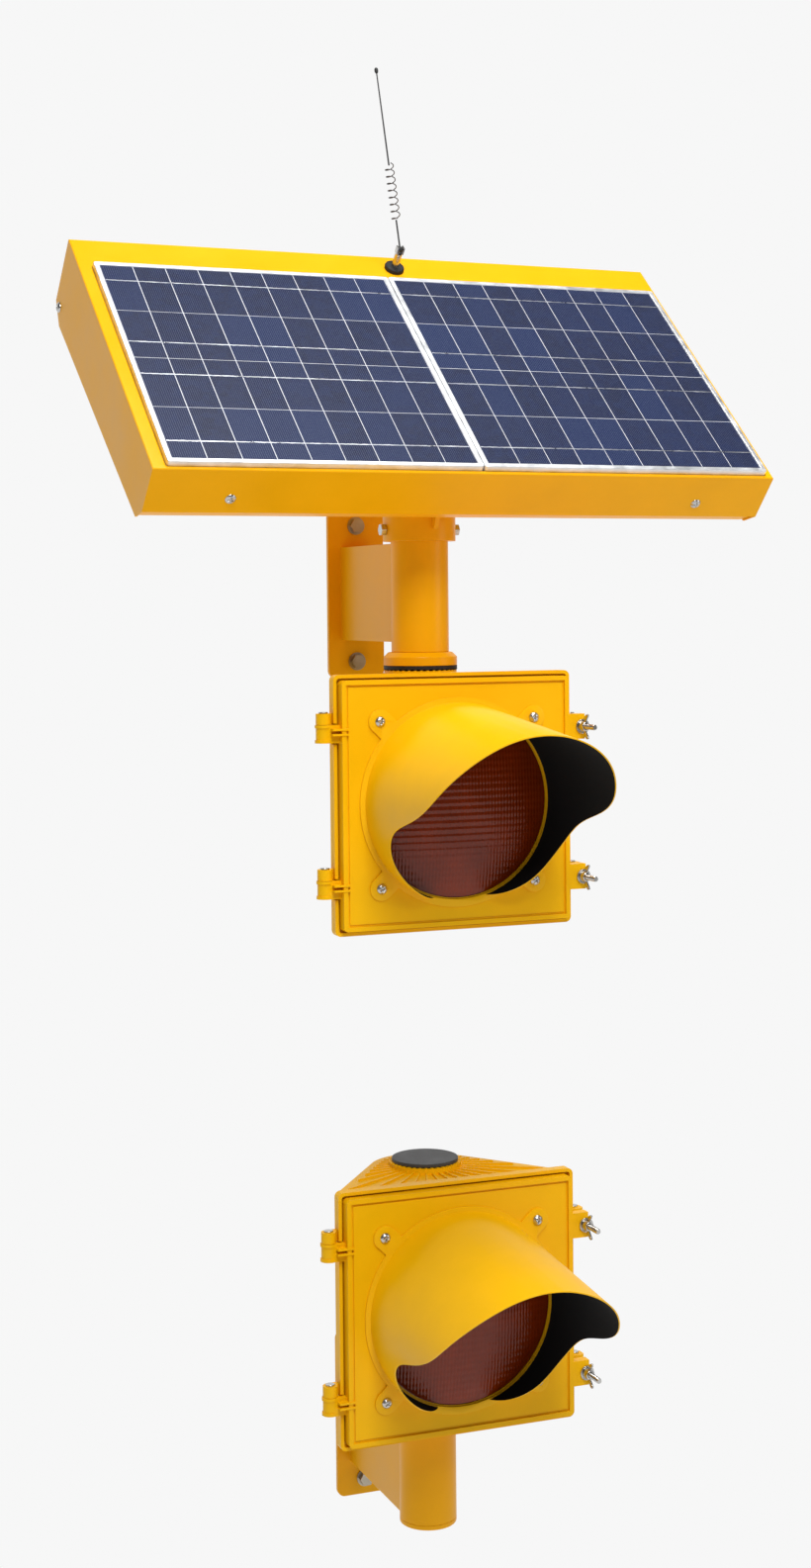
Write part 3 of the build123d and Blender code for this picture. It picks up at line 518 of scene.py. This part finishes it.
def finish_node(node, finish):
    """Gives a CAD node that is shown as it is its material."""
    piece = NODES[node]
    piece.data.materials.clear()
    piece.data.materials.append(Finishes.get(finish))


# =============================== geometry trees ===============================


class Tree:
    """A Geometry Nodes tree under construction, with named inputs."""

    def __init__(self, name, inputs):
        self.group = bpy.data.node_groups.new(name, "GeometryNodeTree")
        face = self.group.interface
        self.sockets = {label: face.new_socket(label, in_out="INPUT", socket_type=kind) for label, kind in inputs}
        face.new_socket("Geometry", in_out="OUTPUT", socket_type="NodeSocketGeometry")
        self.start = self.group.nodes.new("NodeGroupInput")
        self.end = self.group.nodes.new("NodeGroupOutput")

    def given(self, label):
        return self.start.outputs[label]

    def add(self, kind, inputs=(), **settings):
        node = self.group.nodes.new(kind)
        for key, value in settings.items():
            setattr(node, key, value)
        for key, value in dict(inputs).items():
            if isinstance(value, bpy.types.NodeSocket):
                self.group.links.new(value, node.inputs[key])
            else:
                node.inputs[key].default_value = value
        return node

    def maths(self, operation, first, second=0.0):
        return self.add("ShaderNodeMath", {0: first, 1: second}, operation=operation).outputs[0]

    def finish(self, geometry):
        real = self.add("GeometryNodeRealizeInstances", {"Geometry": geometry})
        inputs = {"Geometry": real.outputs[0], "Material": self.given("Material")}
        coloured = self.add("GeometryNodeSetMaterial", inputs)
        self.group.links.new(coloured.outputs[0], self.end.inputs["Geometry"])
        return self

    def grow(self, name, values, seed_mesh=None):
        """Runs the tree with these input values and returns the plain mesh."""
        mesh = seed_mesh or bpy.data.meshes.new(name)
        draft = bpy.data.objects.new("draft", mesh)
        bpy.context.scene.collection.objects.link(draft)
        modifier = draft.modifiers.new("nodes", "NODES")
        modifier.node_group = self.group
        for label, value in values.items():
            modifier[self.sockets[label].identifier] = value
        result = settled(draft)
        result.name = name
        return result


NUMBER, WHOLE, MATERIAL = "NodeSocketFloat", "NodeSocketInt", "NodeSocketMaterial"
GEOMETRY, THING = "NodeSocketGeometry", "NodeSocketObject"


def cell_tree():
    """Grid of box-shaped solar cells with square corners, each with its own tone."""
    tree = Tree("solar cells", [
        ("Columns", WHOLE), ("Rows", WHOLE), ("Column Pitch", NUMBER), ("Row Pitch", NUMBER), ("Gap", NUMBER),
        ("Thickness", NUMBER), ("Seed", WHOLE), ("Material", MATERIAL),
    ])
    wide = tree.maths("SUBTRACT", tree.given("Column Pitch"), tree.given("Gap"))
    high = tree.maths("SUBTRACT", tree.given("Row Pitch"), tree.given("Gap"))
    size = tree.add("ShaderNodeCombineXYZ", {0: wide, 1: high, 2: tree.given("Thickness")}).outputs[0]
    cell = tree.add("GeometryNodeMeshCube", {"Size": size}).outputs["Mesh"]
    run_x = tree.maths("MULTIPLY", tree.maths("SUBTRACT", tree.given("Columns"), 1.0), tree.given("Column Pitch"))
    run_y = tree.maths("MULTIPLY", tree.maths("SUBTRACT", tree.given("Rows"), 1.0), tree.given("Row Pitch"))
    grid = tree.add("GeometryNodeMeshGrid", {
        "Size X": run_x, "Size Y": run_y, "Vertices X": tree.given("Columns"), "Vertices Y": tree.given("Rows"),
    }).outputs["Mesh"]
    placed = tree.add("GeometryNodeInstanceOnPoints", {"Points": grid, "Instance": cell}).outputs[0]
    chance = tree.add("FunctionNodeRandomValue", {"Seed": tree.given("Seed")}, data_type="FLOAT").outputs[1]
    toned = tree.add(
        "GeometryNodeStoreNamedAttribute", {"Geometry": placed, "Name": "tone", "Value": chance},
        data_type="FLOAT", domain="INSTANCE",
    ).outputs[0]
    return tree.finish(toned)


def ribbon_tree():
    """Tinned ribbons across a module, with a soldered ripple, at alternate thirds of the rows."""
    tree = Tree("cell ribbons", [
        ("Rows", WHOLE), ("Row Pitch", NUMBER), ("Length", NUMBER), ("Width", NUMBER), ("Thickness", NUMBER),
        ("Ripple", NUMBER), ("Material", MATERIAL),
    ])
    size = tree.add("ShaderNodeCombineXYZ", {0: tree.given("Length"), 1: tree.given("Width"),
                                             2: tree.given("Thickness")}).outputs[0]
    strip = tree.add("GeometryNodeMeshCube", {"Size": size, "Vertices X": 220}).outputs["Mesh"]
    place = tree.add("GeometryNodeInputPosition").outputs[0]
    wave = tree.add("ShaderNodeTexNoise", {"Vector": place, "Scale": 260.0, "Detail": 1.0}).outputs["Fac"]
    lift = tree.maths("MULTIPLY", tree.maths("SUBTRACT", wave, 0.5), tree.given("Ripple"))
    offset = tree.add("ShaderNodeCombineXYZ", {0: 0.0, 1: lift, 2: 0.0}).outputs[0]
    bent = tree.add("GeometryNodeSetPosition", {"Geometry": strip, "Offset": offset}).outputs[0]
    run = tree.maths("MULTIPLY", tree.maths("SUBTRACT", tree.given("Rows"), 1.0), tree.given("Row Pitch"))
    half = tree.maths("MULTIPLY", run, -0.5)
    line = tree.add("GeometryNodeMeshLine", {"Count": tree.given("Rows")}, mode="OFFSET")
    start = tree.add("ShaderNodeCombineXYZ", {0: 0.0, 1: half, 2: 0.0}).outputs[0]
    step = tree.add("ShaderNodeCombineXYZ", {0: 0.0, 1: tree.given("Row Pitch"), 2: 0.0}).outputs[0]
    tree.group.links.new(start, line.inputs["Start Location"])
    tree.group.links.new(step, line.inputs["Offset"])
    index = tree.add("GeometryNodeInputIndex").outputs[0]
    odd = tree.maths("MODULO", index, 2.0)
    third = tree.maths("MULTIPLY", tree.given("Row Pitch"), 1 / 3)
    shift = tree.maths("MULTIPLY", tree.maths("SUBTRACT", odd, 0.5), third)
    nudge = tree.add("ShaderNodeCombineXYZ", {0: 0.0, 1: shift, 2: 0.0}).outputs[0]
    spread = tree.add("GeometryNodeSetPosition", {"Geometry": line.outputs[0], "Offset": nudge}).outputs[0]
    return tree.finish(tree.add("GeometryNodeInstanceOnPoints", {"Points": spread, "Instance": bent}).outputs[0])


def coil_tree():
    """Round wire wound into an open spring along local Z."""
    tree = Tree("spring coil", [
        ("Turns", NUMBER), ("Radius", NUMBER), ("Height", NUMBER), ("Wire Radius", NUMBER), ("Material", MATERIAL),
    ])
    spiral = tree.add("GeometryNodeCurveSpiral", {
        "Resolution": 24, "Rotations": tree.given("Turns"), "Start Radius": tree.given("Radius"),
        "End Radius": tree.given("Radius"), "Height": tree.given("Height"),
    }).outputs[0]
    round_wire = {"Resolution": 10, "Radius": tree.given("Wire Radius")}
    ring = tree.add("GeometryNodeCurvePrimitiveCircle", round_wire).outputs[0]
    wire = tree.add("GeometryNodeCurveToMesh", {"Curve": spiral, "Profile Curve": ring, "Fill Caps": True}).outputs[0]
    return tree.finish(wire)


def scatter_tree():
    """One shape on every point of the given mesh, turned by the points' own turn attribute."""
    tree = Tree("fastener places", [
        ("Points", GEOMETRY), ("Shape", THING), ("Scale", NUMBER), ("Material", MATERIAL),
    ])
    shape = tree.add("GeometryNodeObjectInfo", {"Object": tree.given("Shape")}).outputs["Geometry"]
    turn = tree.add("GeometryNodeInputNamedAttribute", {"Name": "turn"}, data_type="FLOAT_VECTOR").outputs[0]
    size = tree.add("ShaderNodeCombineXYZ", {0: tree.given("Scale"), 1: tree.given("Scale"),
                                             2: tree.given("Scale")}).outputs[0]
    placed = tree.add("GeometryNodeInstanceOnPoints", {
        "Points": tree.given("Points"), "Instance": shape, "Rotation": turn, "Scale": size}).outputs[0]
    return tree.finish(placed)


def scattered(name, shape_mesh, matrices, finish, scale=1.0):
    """Plain mesh of one shape repeated at each matrix by the scatter tree."""
    seed = bpy.data.meshes.new("places")
    seed.from_pydata([tuple(matrix.translation) for matrix in matrices], [], [])
    turn = seed.attributes.new("turn", "FLOAT_VECTOR", "POINT")
    for index, matrix in enumerate(matrices):
        turn.data[index].vector = matrix.to_euler("XYZ")
    pattern = bpy.data.objects.new("pattern", shape_mesh)
    bpy.context.scene.collection.objects.link(pattern)
    values = {"Shape": pattern, "Scale": scale, "Material": Finishes.get(finish)}
    mesh = scatter_tree().grow(name, values, seed)
    bpy.data.objects.remove(pattern)
    return mesh


# =============================== small pieces ===============================


def cross_screw(radius, height, shank, segments=48):
    """Pan head with a cross recess, seated on local z = 0, with its shank below."""
    rings = [0.0, 0.1, 0.18, 0.26, 0.36, 0.5, 0.62, 0.74, 0.86, 0.95, 1.0]
    points, levels = [], []
    arm_w, arm_l, sink = 0.13 * radius, 0.58 * radius, 0.5 * height
    for share in rings:
        reach = share * radius
        count = 1 if share == 0 else segments
        levels.append(range(len(points), len(points) + count))
        dome = height * (1 - 0.75 * share**3.2)
        for i in range(count):
            x, y = reach * cos(tau * i / segments), reach * sin(tau * i / segments)
            slot = (abs(x) < arm_w and abs(y) < arm_l) or (abs(y) < arm_w and abs(x) < arm_l)
            drop = sink * (1 - share) if slot else 0.0
            points.append((x, y, dome - drop))
    for radius_low, z in ((radius, 0.0), (0.46 * radius, 0.0), (0.46 * radius, -shank)):
        levels.append(range(len(points), len(points) + segments))
        points += [(radius_low * cos(tau * i / segments), radius_low * sin(tau * i / segments), z)
                   for i in range(segments)]
    levels.append(range(len(points), len(points) + 1))
    points.append((0.0, 0.0, -shank))
    return points, bridged(levels, segments)


def wing_nut(bore):
    """Wing nut along local Z: a coned hub with a bore and two rounded wings along local Y."""
    hub = lathe([
        (bore, 0.0), (0.0056, 0.0), (0.0057, 0.0012), (0.0050, 0.0062), (0.0044, 0.0074), (bore, 0.0075), (bore, 0.0),
    ], 28)
    shapes = [hub]
    for side in (-1, 1):
        outline = []
        for along, up in ((0.0038, 0.0008), (0.0068, 0.0012), (0.0098, 0.0040), (0.0124, 0.0078), (0.0131, 0.0105),
                          (0.0122, 0.0122), (0.0102, 0.0118), (0.0078, 0.0092), (0.0052, 0.0068), (0.0038, 0.0060)):
            outline.append((side * along, up))
        plate = slab(outline if side > 0 else outline[::-1], 0.0019)
        stand = Matrix(((0, 0, 1, 0), (1, 0, 0, 0), (0, 1, 0, 0), (0, 0, 0, 1)))
        shapes.append(moved(plate, stand))
    return shapes


# =============================== operators ===============================


class Build(bpy.types.Operator):
    """Shared parts of the beacon's build steps."""

    bl_options = {"REGISTER", "UNDO"}

    @property
    def sizes(self):
        return bpy.context.scene.beacon_sizes


class BEACON_OT_box(Build):
    """Folded lid, base pan and post collar of the solar box"""

    bl_idname = "beacon.box"
    bl_label = "Solar box"

    def execute(self, context):
        for node in ("solar_box_lid", "solar_box_pan", "box_collar"):
            rounded_copy(node, "paint")
        rounded_copy("collar_set_screws", "steel")
        finish_node("battery_packs", "battery")
        finish_node("charge_controller", "controller")
        points = []
        right = Panel.axes()[0]
        slope = Panel.axes()[1]
        middle = Panel.matrix().translation
        for centre in clusters("lid_screws", 0.05):
            sideways = (centre - middle).dot(right)
            facing = -slope if abs(sideways) < 0.33 else right * (1 if sideways > 0 else -1)
            points.append(aimed(centre - facing * 0.0015, facing))
        head = new_mesh("screw", [cross_screw(0.0056, 0.0030, 0.006)], 50)
        mesh = scattered("lid_screw_heads", head, points, "steel")
        show("lid_screw_heads", mesh, None, BODY_OF["lid_screws"], ["lid_screws"])
        return {"FINISHED"}


class BEACON_OT_modules(Build):
    """Two framed solar modules with their cells, ribbons and back sheet"""

    bl_idname = "beacon.modules"
    bl_label = "Solar modules"

    def execute(self, context):
        sizes = self.sizes
        rounded_copy("solar_module_frames", "frame", 0.0008)
        finish_node("solar_module_panes", "backsheet")
        low, high = Panel.span()
        pane_h = high[1] - low[1]
        pitch = self.module_pitch()
        pane_w = (high[0] - low[0]) - pitch
        to_frame = Panel.matrix()
        for side, label in ((-1, "left"), (1, "right")):
            values = {
                "Columns": sizes.columns, "Rows": sizes.rows, "Column Pitch": pane_w / sizes.columns,
                "Row Pitch": pane_h / sizes.rows, "Gap": sizes.cell_gap, "Thickness": 0.0003,
                "Seed": 7 + side, "Material": Finishes.get("cell"),
            }
            shift = Matrix.Translation((side * pitch / 2, 0.0, 0.0001))
            cells = cell_tree().grow(f"solar_cells_{label}", values)
            cells.transform(to_frame @ shift)
            show(f"solar_cells_{label}", cells, None, BODY_OF["solar_module_panes"])
            values = {
                "Rows": sizes.rows, "Row Pitch": pane_h / sizes.rows, "Length": pane_w - 0.002,
                "Width": sizes.ribbon, "Thickness": 0.0003, "Ripple": 0.0016, "Material": Finishes.get("ribbon"),
            }
            ribbons = ribbon_tree().grow(f"cell_ribbons_{label}", values)
            ribbons.transform(to_frame @ Matrix.Translation((side * pitch / 2, 0.0, 0.00022)))
            show(f"cell_ribbons_{label}", ribbons, None, BODY_OF["solar_module_panes"])
        return {"FINISHED"}

    @staticmethod
    def module_pitch():
        """Distance between the two modules' middles, from the frames' whole width."""
        turn = Matrix(Panel.axes())
        across = [(turn @ vertex.co).x for vertex in NODES["solar_module_frames"].data.vertices]
        whole = max(across) - min(across)
        return (whole - MODULE_SEAM) / 2 + MODULE_SEAM


class BEACON_OT_aerial(Build):
    """Whip aerial with its spring coil, ferrule and rubber foot"""

    bl_idname = "beacon.aerial"
    bl_label = "Aerial"

    def execute(self, context):
        sizes = self.sizes
        rounded_copy("antenna_base", "rubber", 0.0004)
        rounded_copy("antenna_ferrule", "steel", 0.0003)
        pivot = Vector(JOINTS["antenna_tilt"]["pos_m"])
        right = Vector(JOINTS["antenna_tilt"]["axis"])
        whip = [vertex.co for vertex in NODES["antenna_whip"].data.vertices]
        tip = max(whip, key=lambda point: (point - pivot).length)
        run = (tip - pivot)
        run -= right * run.dot(right)
        stand = aimed(pivot, run, right)
        reach = run.length
        body = BODY_OF["antenna_whip"]
        rod = lathe([(0.0, 0.0), (WHIP_R, 0.0), (WHIP_R, 0.0345), (0.0, 0.0345)], 16)
        upper = lathe([(0.0, 0.0995), (WHIP_R, 0.0995), (0.0007, reach - 0.006), (0.0, reach - 0.006)], 16)
        knob = lathe([
            (0.0, reach - 0.0065), (0.0014, reach - 0.0064), (0.0021, reach - 0.0045), (0.0021, reach - 0.002),
            (0.0014, reach - 0.0004), (0.0, reach),
        ], 20)
        eye = moved(lathe([
            (0.00105, -0.0019), (0.0030, -0.0019), (0.0030, 0.0019), (0.00105, 0.0019), (0.00105, -0.0019)], 24),
            Matrix.Rotation(pi / 2, 4, "X"))
        mesh = new_mesh("aerial_rod", [rod, upper, knob, eye])
        mesh.transform(stand)
        show("aerial_rod", mesh, "rubber", body, ["antenna_whip"])
        values = {
            "Turns": float(sizes.coil_turns), "Radius": COIL_R, "Height": 0.066, "Wire Radius": sizes.wire,
            "Material": Finishes.get("spring wire"),
        }
        coil = coil_tree().grow("aerial_coil", values)
        coil.transform(stand @ Matrix.Translation((0.0, 0.0, 0.034)))
        tidy_mesh(coil, 60)
        show("aerial_coil", coil, None, body)
        return {"FINISHED"}


class BEACON_OT_heads(Build):
    """Housings, doors, visors and caps of both signal heads"""

    bl_idname = "beacon.heads"
    bl_label = "Signal heads"

    def execute(self, context):
        for head in HEADS:
            rounded_copy(f"{head}_housing", "plastic")
            rounded_copy(f"{head}_door", "plastic", 0.0005)
            rounded_copy(f"{head}_visor", f"{head}_visor", 0.0004, flat=False)
            rounded_copy(f"{head}_hub_cap", "dark plastic", 0.0008)
            finish_node(f"{head}_door_gasket", "rubber")
            finish_node(f"{head}_lens_clips", "steel")
            finish_node(f"{head}_terminal_block", "dark plastic")
            rounded_copy(f"{head}_pivot_pins", "steel", 0.0005)
            finish_node(f"{head}_led_lamp", "reflector")
            self.screws(head)
        return {"FINISHED"}

    @staticmethod
    def screws(head):
        node = f"{head}_visor_screws"
        low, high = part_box(node)
        head_r = 0.0053
        mid = head_middle(head)
        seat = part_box(f"{head}_visor")[1].y - 0.002
        places = []
        for x in (low.x + head_r, high.x - head_r):
            for z in (low.z + head_r, high.z - head_r):
                spin = Matrix.Rotation(0.3 + 9 * x + 5 * (z - mid), 4, "Z")
                places.append(aimed((x, seat, z), (0.0, -1.0, 0.0)) @ spin)
        head_mesh = new_mesh("screw", [cross_screw(head_r, 0.0034, 0.0085)], 50)
        mesh = scattered(f"{node}_heads", head_mesh, places, "steel")
        show(f"{node}_cross", mesh, None, BODY_OF[node], [node])


class BEACON_OT_lenses(Build):
    """Prismatic lenses of both heads, with the diodes behind them"""

    bl_idname = "beacon.lenses"
    bl_label = "Lenses"

    def execute(self, context):
        for head in HEADS:
            self.lens(head)
            self.diodes(head)
        return {"FINISHED"}

    def lens(self, head):
        sizes = self.sizes
        node = f"{head}_lens"
        low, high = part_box(node)
        mid = head_middle(head)
        rim, apex, back = 0.096, low.y, high.y
        shoulder = back - 0.0035
        count = 240
        steps = np.linspace(-1.0, 1.0, count + 1)
        across, up = np.meshgrid(steps, steps)
        x = across * np.sqrt(1 - up**2 / 2) * rim
        z = up * np.sqrt(1 - across**2 / 2) * rim
        reach = np.minimum(np.hypot(x, z) / rim, 1.0)
        rise = shoulder - apex
        radius = (rim**2 + rise**2) / (2 * rise)
        dome = apex + radius - np.sqrt(radius**2 - (reach * rim) ** 2)
        prism = 0.6 * np.cos(tau * x / sizes.prism_w) + 0.4 * np.cos(tau * z / sizes.prism_h)
        fade = np.clip((1 - reach) * 14, 0, 1)
        y = dome + sizes.prism_depth * 0.5 * fade * (1 - prism)
        points = list(zip(x.ravel(), y.ravel(), (z + mid).ravel()))
        wide = count + 1
        faces = [
            [row * wide + col, row * wide + col + 1, (row + 1) * wide + col + 1, (row + 1) * wide + col]
            for row in range(count) for col in range(count)
        ]
        edge = [col for col in range(count)] + [row * wide + count for row in range(count)]
        edge += [count * wide + count - col for col in range(count)] + [(count - row) * wide for row in range(count)]
        angles = [(points[i][0] / rim, (points[i][2] - mid) / rim) for i in edge]
        rings = [(rim, shoulder + 0.0015), (0.0995, shoulder + 0.0015), (0.0995, back), (0.091, back)]
        rings += [(0.091, shoulder + 0.0024)]
        for share in (0.8, 0.6, 0.4, 0.2):
            rings.append((0.091 * share, shoulder + 0.0024 - (rise - 0.0006) * (1 - share**2)))
        previous = edge
        for ring_r, ring_y in rings:
            ring = list(range(len(points), len(points) + len(edge)))
            points += [(ring_r * a, ring_y, ring_r * b + mid) for a, b in angles]
            for i in range(len(edge)):
                j = (i + 1) % len(edge)
                faces.append([previous[i], previous[j], ring[j], ring[i]])
            previous = ring
        points.append((0.0, shoulder + 0.0018 - rise + 0.0012, mid))
        centre = len(points) - 1
        faces += [[previous[i], previous[(i + 1) % len(edge)], centre] for i in range(len(edge))]
        mesh = new_mesh(f"{node}_prisms", [(points, faces)], 60)
        show(f"{node}_prisms", mesh, "lens", BODY_OF[node], [node])

    @staticmethod
    def diodes(head):
        node = f"{head}_led_lamp"
        mid = head_middle(head)
        floor = POST_Y - LAMP_FLOOR
        places = [aimed((0.0, floor, mid), (0.0, -1.0, 0.0))]
        for ring_r, count in ((0.024, 6), (0.048, 12)):
            for i in range(count):
                turn = tau * i / count
                place = (ring_r * cos(turn), floor, mid + ring_r * sin(turn))
                places.append(aimed(place, (0.0, -1.0, 0.0)))
        bulb = new_mesh("diode", [lathe([
            (0.0, -0.001), (0.0036, -0.001), (0.0036, 0.001), (0.0030, 0.0027), (0.0016, 0.0040), (0.0, 0.0045)], 14)])
        mesh = scattered(f"{head}_diodes", bulb, places, "diode")
        show(f"{head}_diodes", mesh, None, BODY_OF[node])


class BEACON_OT_latches(Build):
    """Threaded eyebolts, washers and wing nuts that hold the doors shut"""

    bl_idname = "beacon.latches"
    bl_label = "Door latches"

    def execute(self, context):
        for head in HEADS:
            for spot in SPOTS:
                self.latch(head, spot)
        return {"FINISHED"}

    def latch(self, head, spot):
        swing = JOINTS[f"{head}_{spot}_eyebolt_swing"]["pos_m"]
        z = latch_height(head, spot)
        node = f"{head}_eyebolt_{spot}"
        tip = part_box(node)[0].y
        stand = aimed((swing[0], swing[1], z), (0.0, -1.0, 0.0))
        reach = swing[1] - tip
        rod = thread(0.0030, 0.0052, reach, self.sizes.pitch)
        eye = moved(lathe([
            (0.00305, -0.0045), (0.0052, -0.0045), (0.0060, -0.0032), (0.0060, 0.0032), (0.0052, 0.0045),
            (0.00305, 0.0045), (0.00305, -0.0045)], 28), Matrix.Rotation(pi / 2, 4, "X"))
        mesh = new_mesh(f"{node}_threaded", [rod, eye], 40)
        mesh.transform(stand)
        show(f"{node}_threaded", mesh, "steel", BODY_OF[node], [node])
        rounded_copy(f"{head}_washer_{spot}", "steel", 0.0003)
        node = f"{head}_wing_nut_{spot}"
        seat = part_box(node)[1].y
        mesh = new_mesh(f"{node}_cast", wing_nut(0.00305), 45)
        mesh.transform(aimed((swing[0], seat, z), (0.0, -1.0, 0.0)))
        draft = bpy.data.objects.new("draft", mesh)
        bpy.context.scene.collection.objects.link(draft)
        bevel = draft.modifiers.new("bevel", "BEVEL")
        bevel.width, bevel.segments, bevel.angle_limit = 0.0004, 2, radians(40)
        mesh = settled(draft)
        tidy_mesh(mesh, 50)
        show(f"{node}_cast", mesh, "steel", BODY_OF[node], [node])


class BEACON_OT_brackets(Build):
    """Back plates, arms, posts, hub flanges and their fasteners"""

    bl_idname = "beacon.brackets"
    bl_label = "Brackets and posts"

    def execute(self, context):
        for head in HEADS:
            for part in ("mount_bracket", "post", "hub_flange"):
                rounded_copy(f"{head}_{part}", "paint", 0.0008)
            rounded_copy(f"{head}_mount_bolts", "zinc", 0.0006)
            rounded_copy(f"{head}_lock_nut", "zinc", 0.0006)
            rounded_copy(f"{head}_serrated_ring", "rubber", 0.0002)
        rounded_copy("lower_post_cap", "paint", 0.0004)
        return {"FINISHED"}


class BEACON_OT_stage(Build):
    """Pale studio, soft lights and the camera"""

    bl_idname = "beacon.stage"
    bl_label = "Studio"

    def execute(self, context):
        scene = context.scene
        self.backdrop()
        self.lights()
        self.camera(scene)
        scene.view_settings.view_transform = "Standard"
        scene.view_settings.look = "None"
        return {"FINISHED"}

    @staticmethod
    def backdrop():
        floor_z, back_y, bend = -1.55, 5.0, 1.2
        profile = [(-9.0, floor_z)] + [
            (back_y - bend + bend * sin(i * pi / 16), floor_z + bend - bend * cos(i * pi / 16)) for i in range(9)
        ] + [(back_y, 7.0)]
        points = [(x, y, z) for x in (-9.0, 9.0) for y, z in profile]
        count = len(profile)
        faces = [[i, i + 1, count + i + 1, count + i] for i in range(count - 1)]
        mesh = new_mesh("studio_sweep", [(points, faces)], 60, outward=False)
        sweep = bpy.data.objects.new("studio_sweep", mesh)
        bpy.context.scene.collection.objects.link(sweep)
        shader = Shader("studio paper", Roughness=1.0, Base_Color=(0.0, 0.0, 0.0, 1.0), Specular_IOR_Level=0.0)
        shader.main.inputs["Emission Color"].default_value = (PAPER, PAPER, PAPER, 1.0)
        shader.main.inputs["Emission Strength"].default_value = 1.0
        mesh.materials.append(shader.material)

    @staticmethod
    def lights():
        world = bpy.data.worlds.new("studio air")
        bpy.context.scene.world = world
        world.use_nodes = True
        air = world.node_tree.nodes["Background"]
        air.inputs["Color"].default_value = (1.0, 1.0, 1.0, 1.0)
        rays = world.node_tree.nodes.new("ShaderNodeLightPath")
        level = world.node_tree.nodes.new("ShaderNodeMapRange")
        level.inputs["To Min"].default_value = AIR
        level.inputs["To Max"].default_value = PAPER
        world.node_tree.links.new(rays.outputs["Is Camera Ray"], level.inputs["Value"])
        world.node_tree.links.new(level.outputs["Result"], air.inputs["Strength"])
        target = Vector((0.0, POST_Y, -0.25))
        for name, place, size, power in (
            ("key softbox", (-0.6, -3.0, 2.4), 1.4, 100.0),
            ("top softbox", (0.2, -0.9, 2.6), 1.2, 62.0),
            ("right strip", (2.4, -1.8, 0.5), 1.2, 12.0),
        ):
            lamp = bpy.data.lights.new(name, "AREA")
            lamp.shape, lamp.size, lamp.energy = "SQUARE", size, power
            holder = bpy.data.objects.new(name, lamp)
            holder.matrix_world = aimed(place, Vector(place) - target)
            bpy.context.scene.collection.objects.link(holder)

    @staticmethod
    def camera(scene):
        data = bpy.data.cameras.new("studio camera")
        data.sensor_fit = "VERTICAL"
        data.sensor_height = SENSOR
        data.lens = LENS
        data.shift_y = LENS_SHIFT
        data.clip_end = 50.0
        camera = bpy.data.objects.new("studio camera", data)
        turn = Matrix.Rotation(-CAMERA_YAW, 4, "Z") @ Matrix.Rotation(pi / 2 - CAMERA_PITCH, 4, "X")
        turn = turn @ Matrix.Rotation(-CAMERA_ROLL, 4, "Z")
        camera.matrix_world = Matrix.Translation(CAMERA_PLACE) @ turn
        scene.collection.objects.link(camera)
        scene.camera = camera


STEPS = (
    BEACON_OT_box, BEACON_OT_modules, BEACON_OT_aerial, BEACON_OT_heads, BEACON_OT_lenses, BEACON_OT_latches,
    BEACON_OT_brackets, BEACON_OT_stage,
)


class BEACON_PT_panel(bpy.types.Panel):
    """Lists the build steps and settings in the sidebar"""

    bl_idname = "BEACON_PT_panel"
    bl_label = "Solar beacon set"
    bl_space_type = "VIEW_3D"
    bl_region_type = "UI"
    bl_category = "Beacon"

    def draw(self, context):
        for step in STEPS:
            self.layout.operator(step.bl_idname)
        for settings in (context.scene.beacon_colours, context.scene.beacon_sizes):
            box = self.layout.box()
            for name in settings.__annotations__:
                box.prop(settings, name)


CLASSES = (BeaconColours, BeaconSizes, *STEPS, BEACON_PT_panel)


def register():
    for item in CLASSES:
        bpy.utils.register_class(item)
    bpy.types.Scene.beacon_colours = PointerProperty(type=BeaconColours)
    bpy.types.Scene.beacon_sizes = PointerProperty(type=BeaconSizes)


def unregister():
    del bpy.types.Scene.beacon_sizes
    del bpy.types.Scene.beacon_colours
    for item in reversed(CLASSES):
        bpy.utils.unregister_class(item)


def main():
    register()
    for step in STEPS:
        group, name = step.bl_idname.split(".")
        getattr(getattr(bpy.ops, group), name)()


if __name__ == "__main__":
    main()
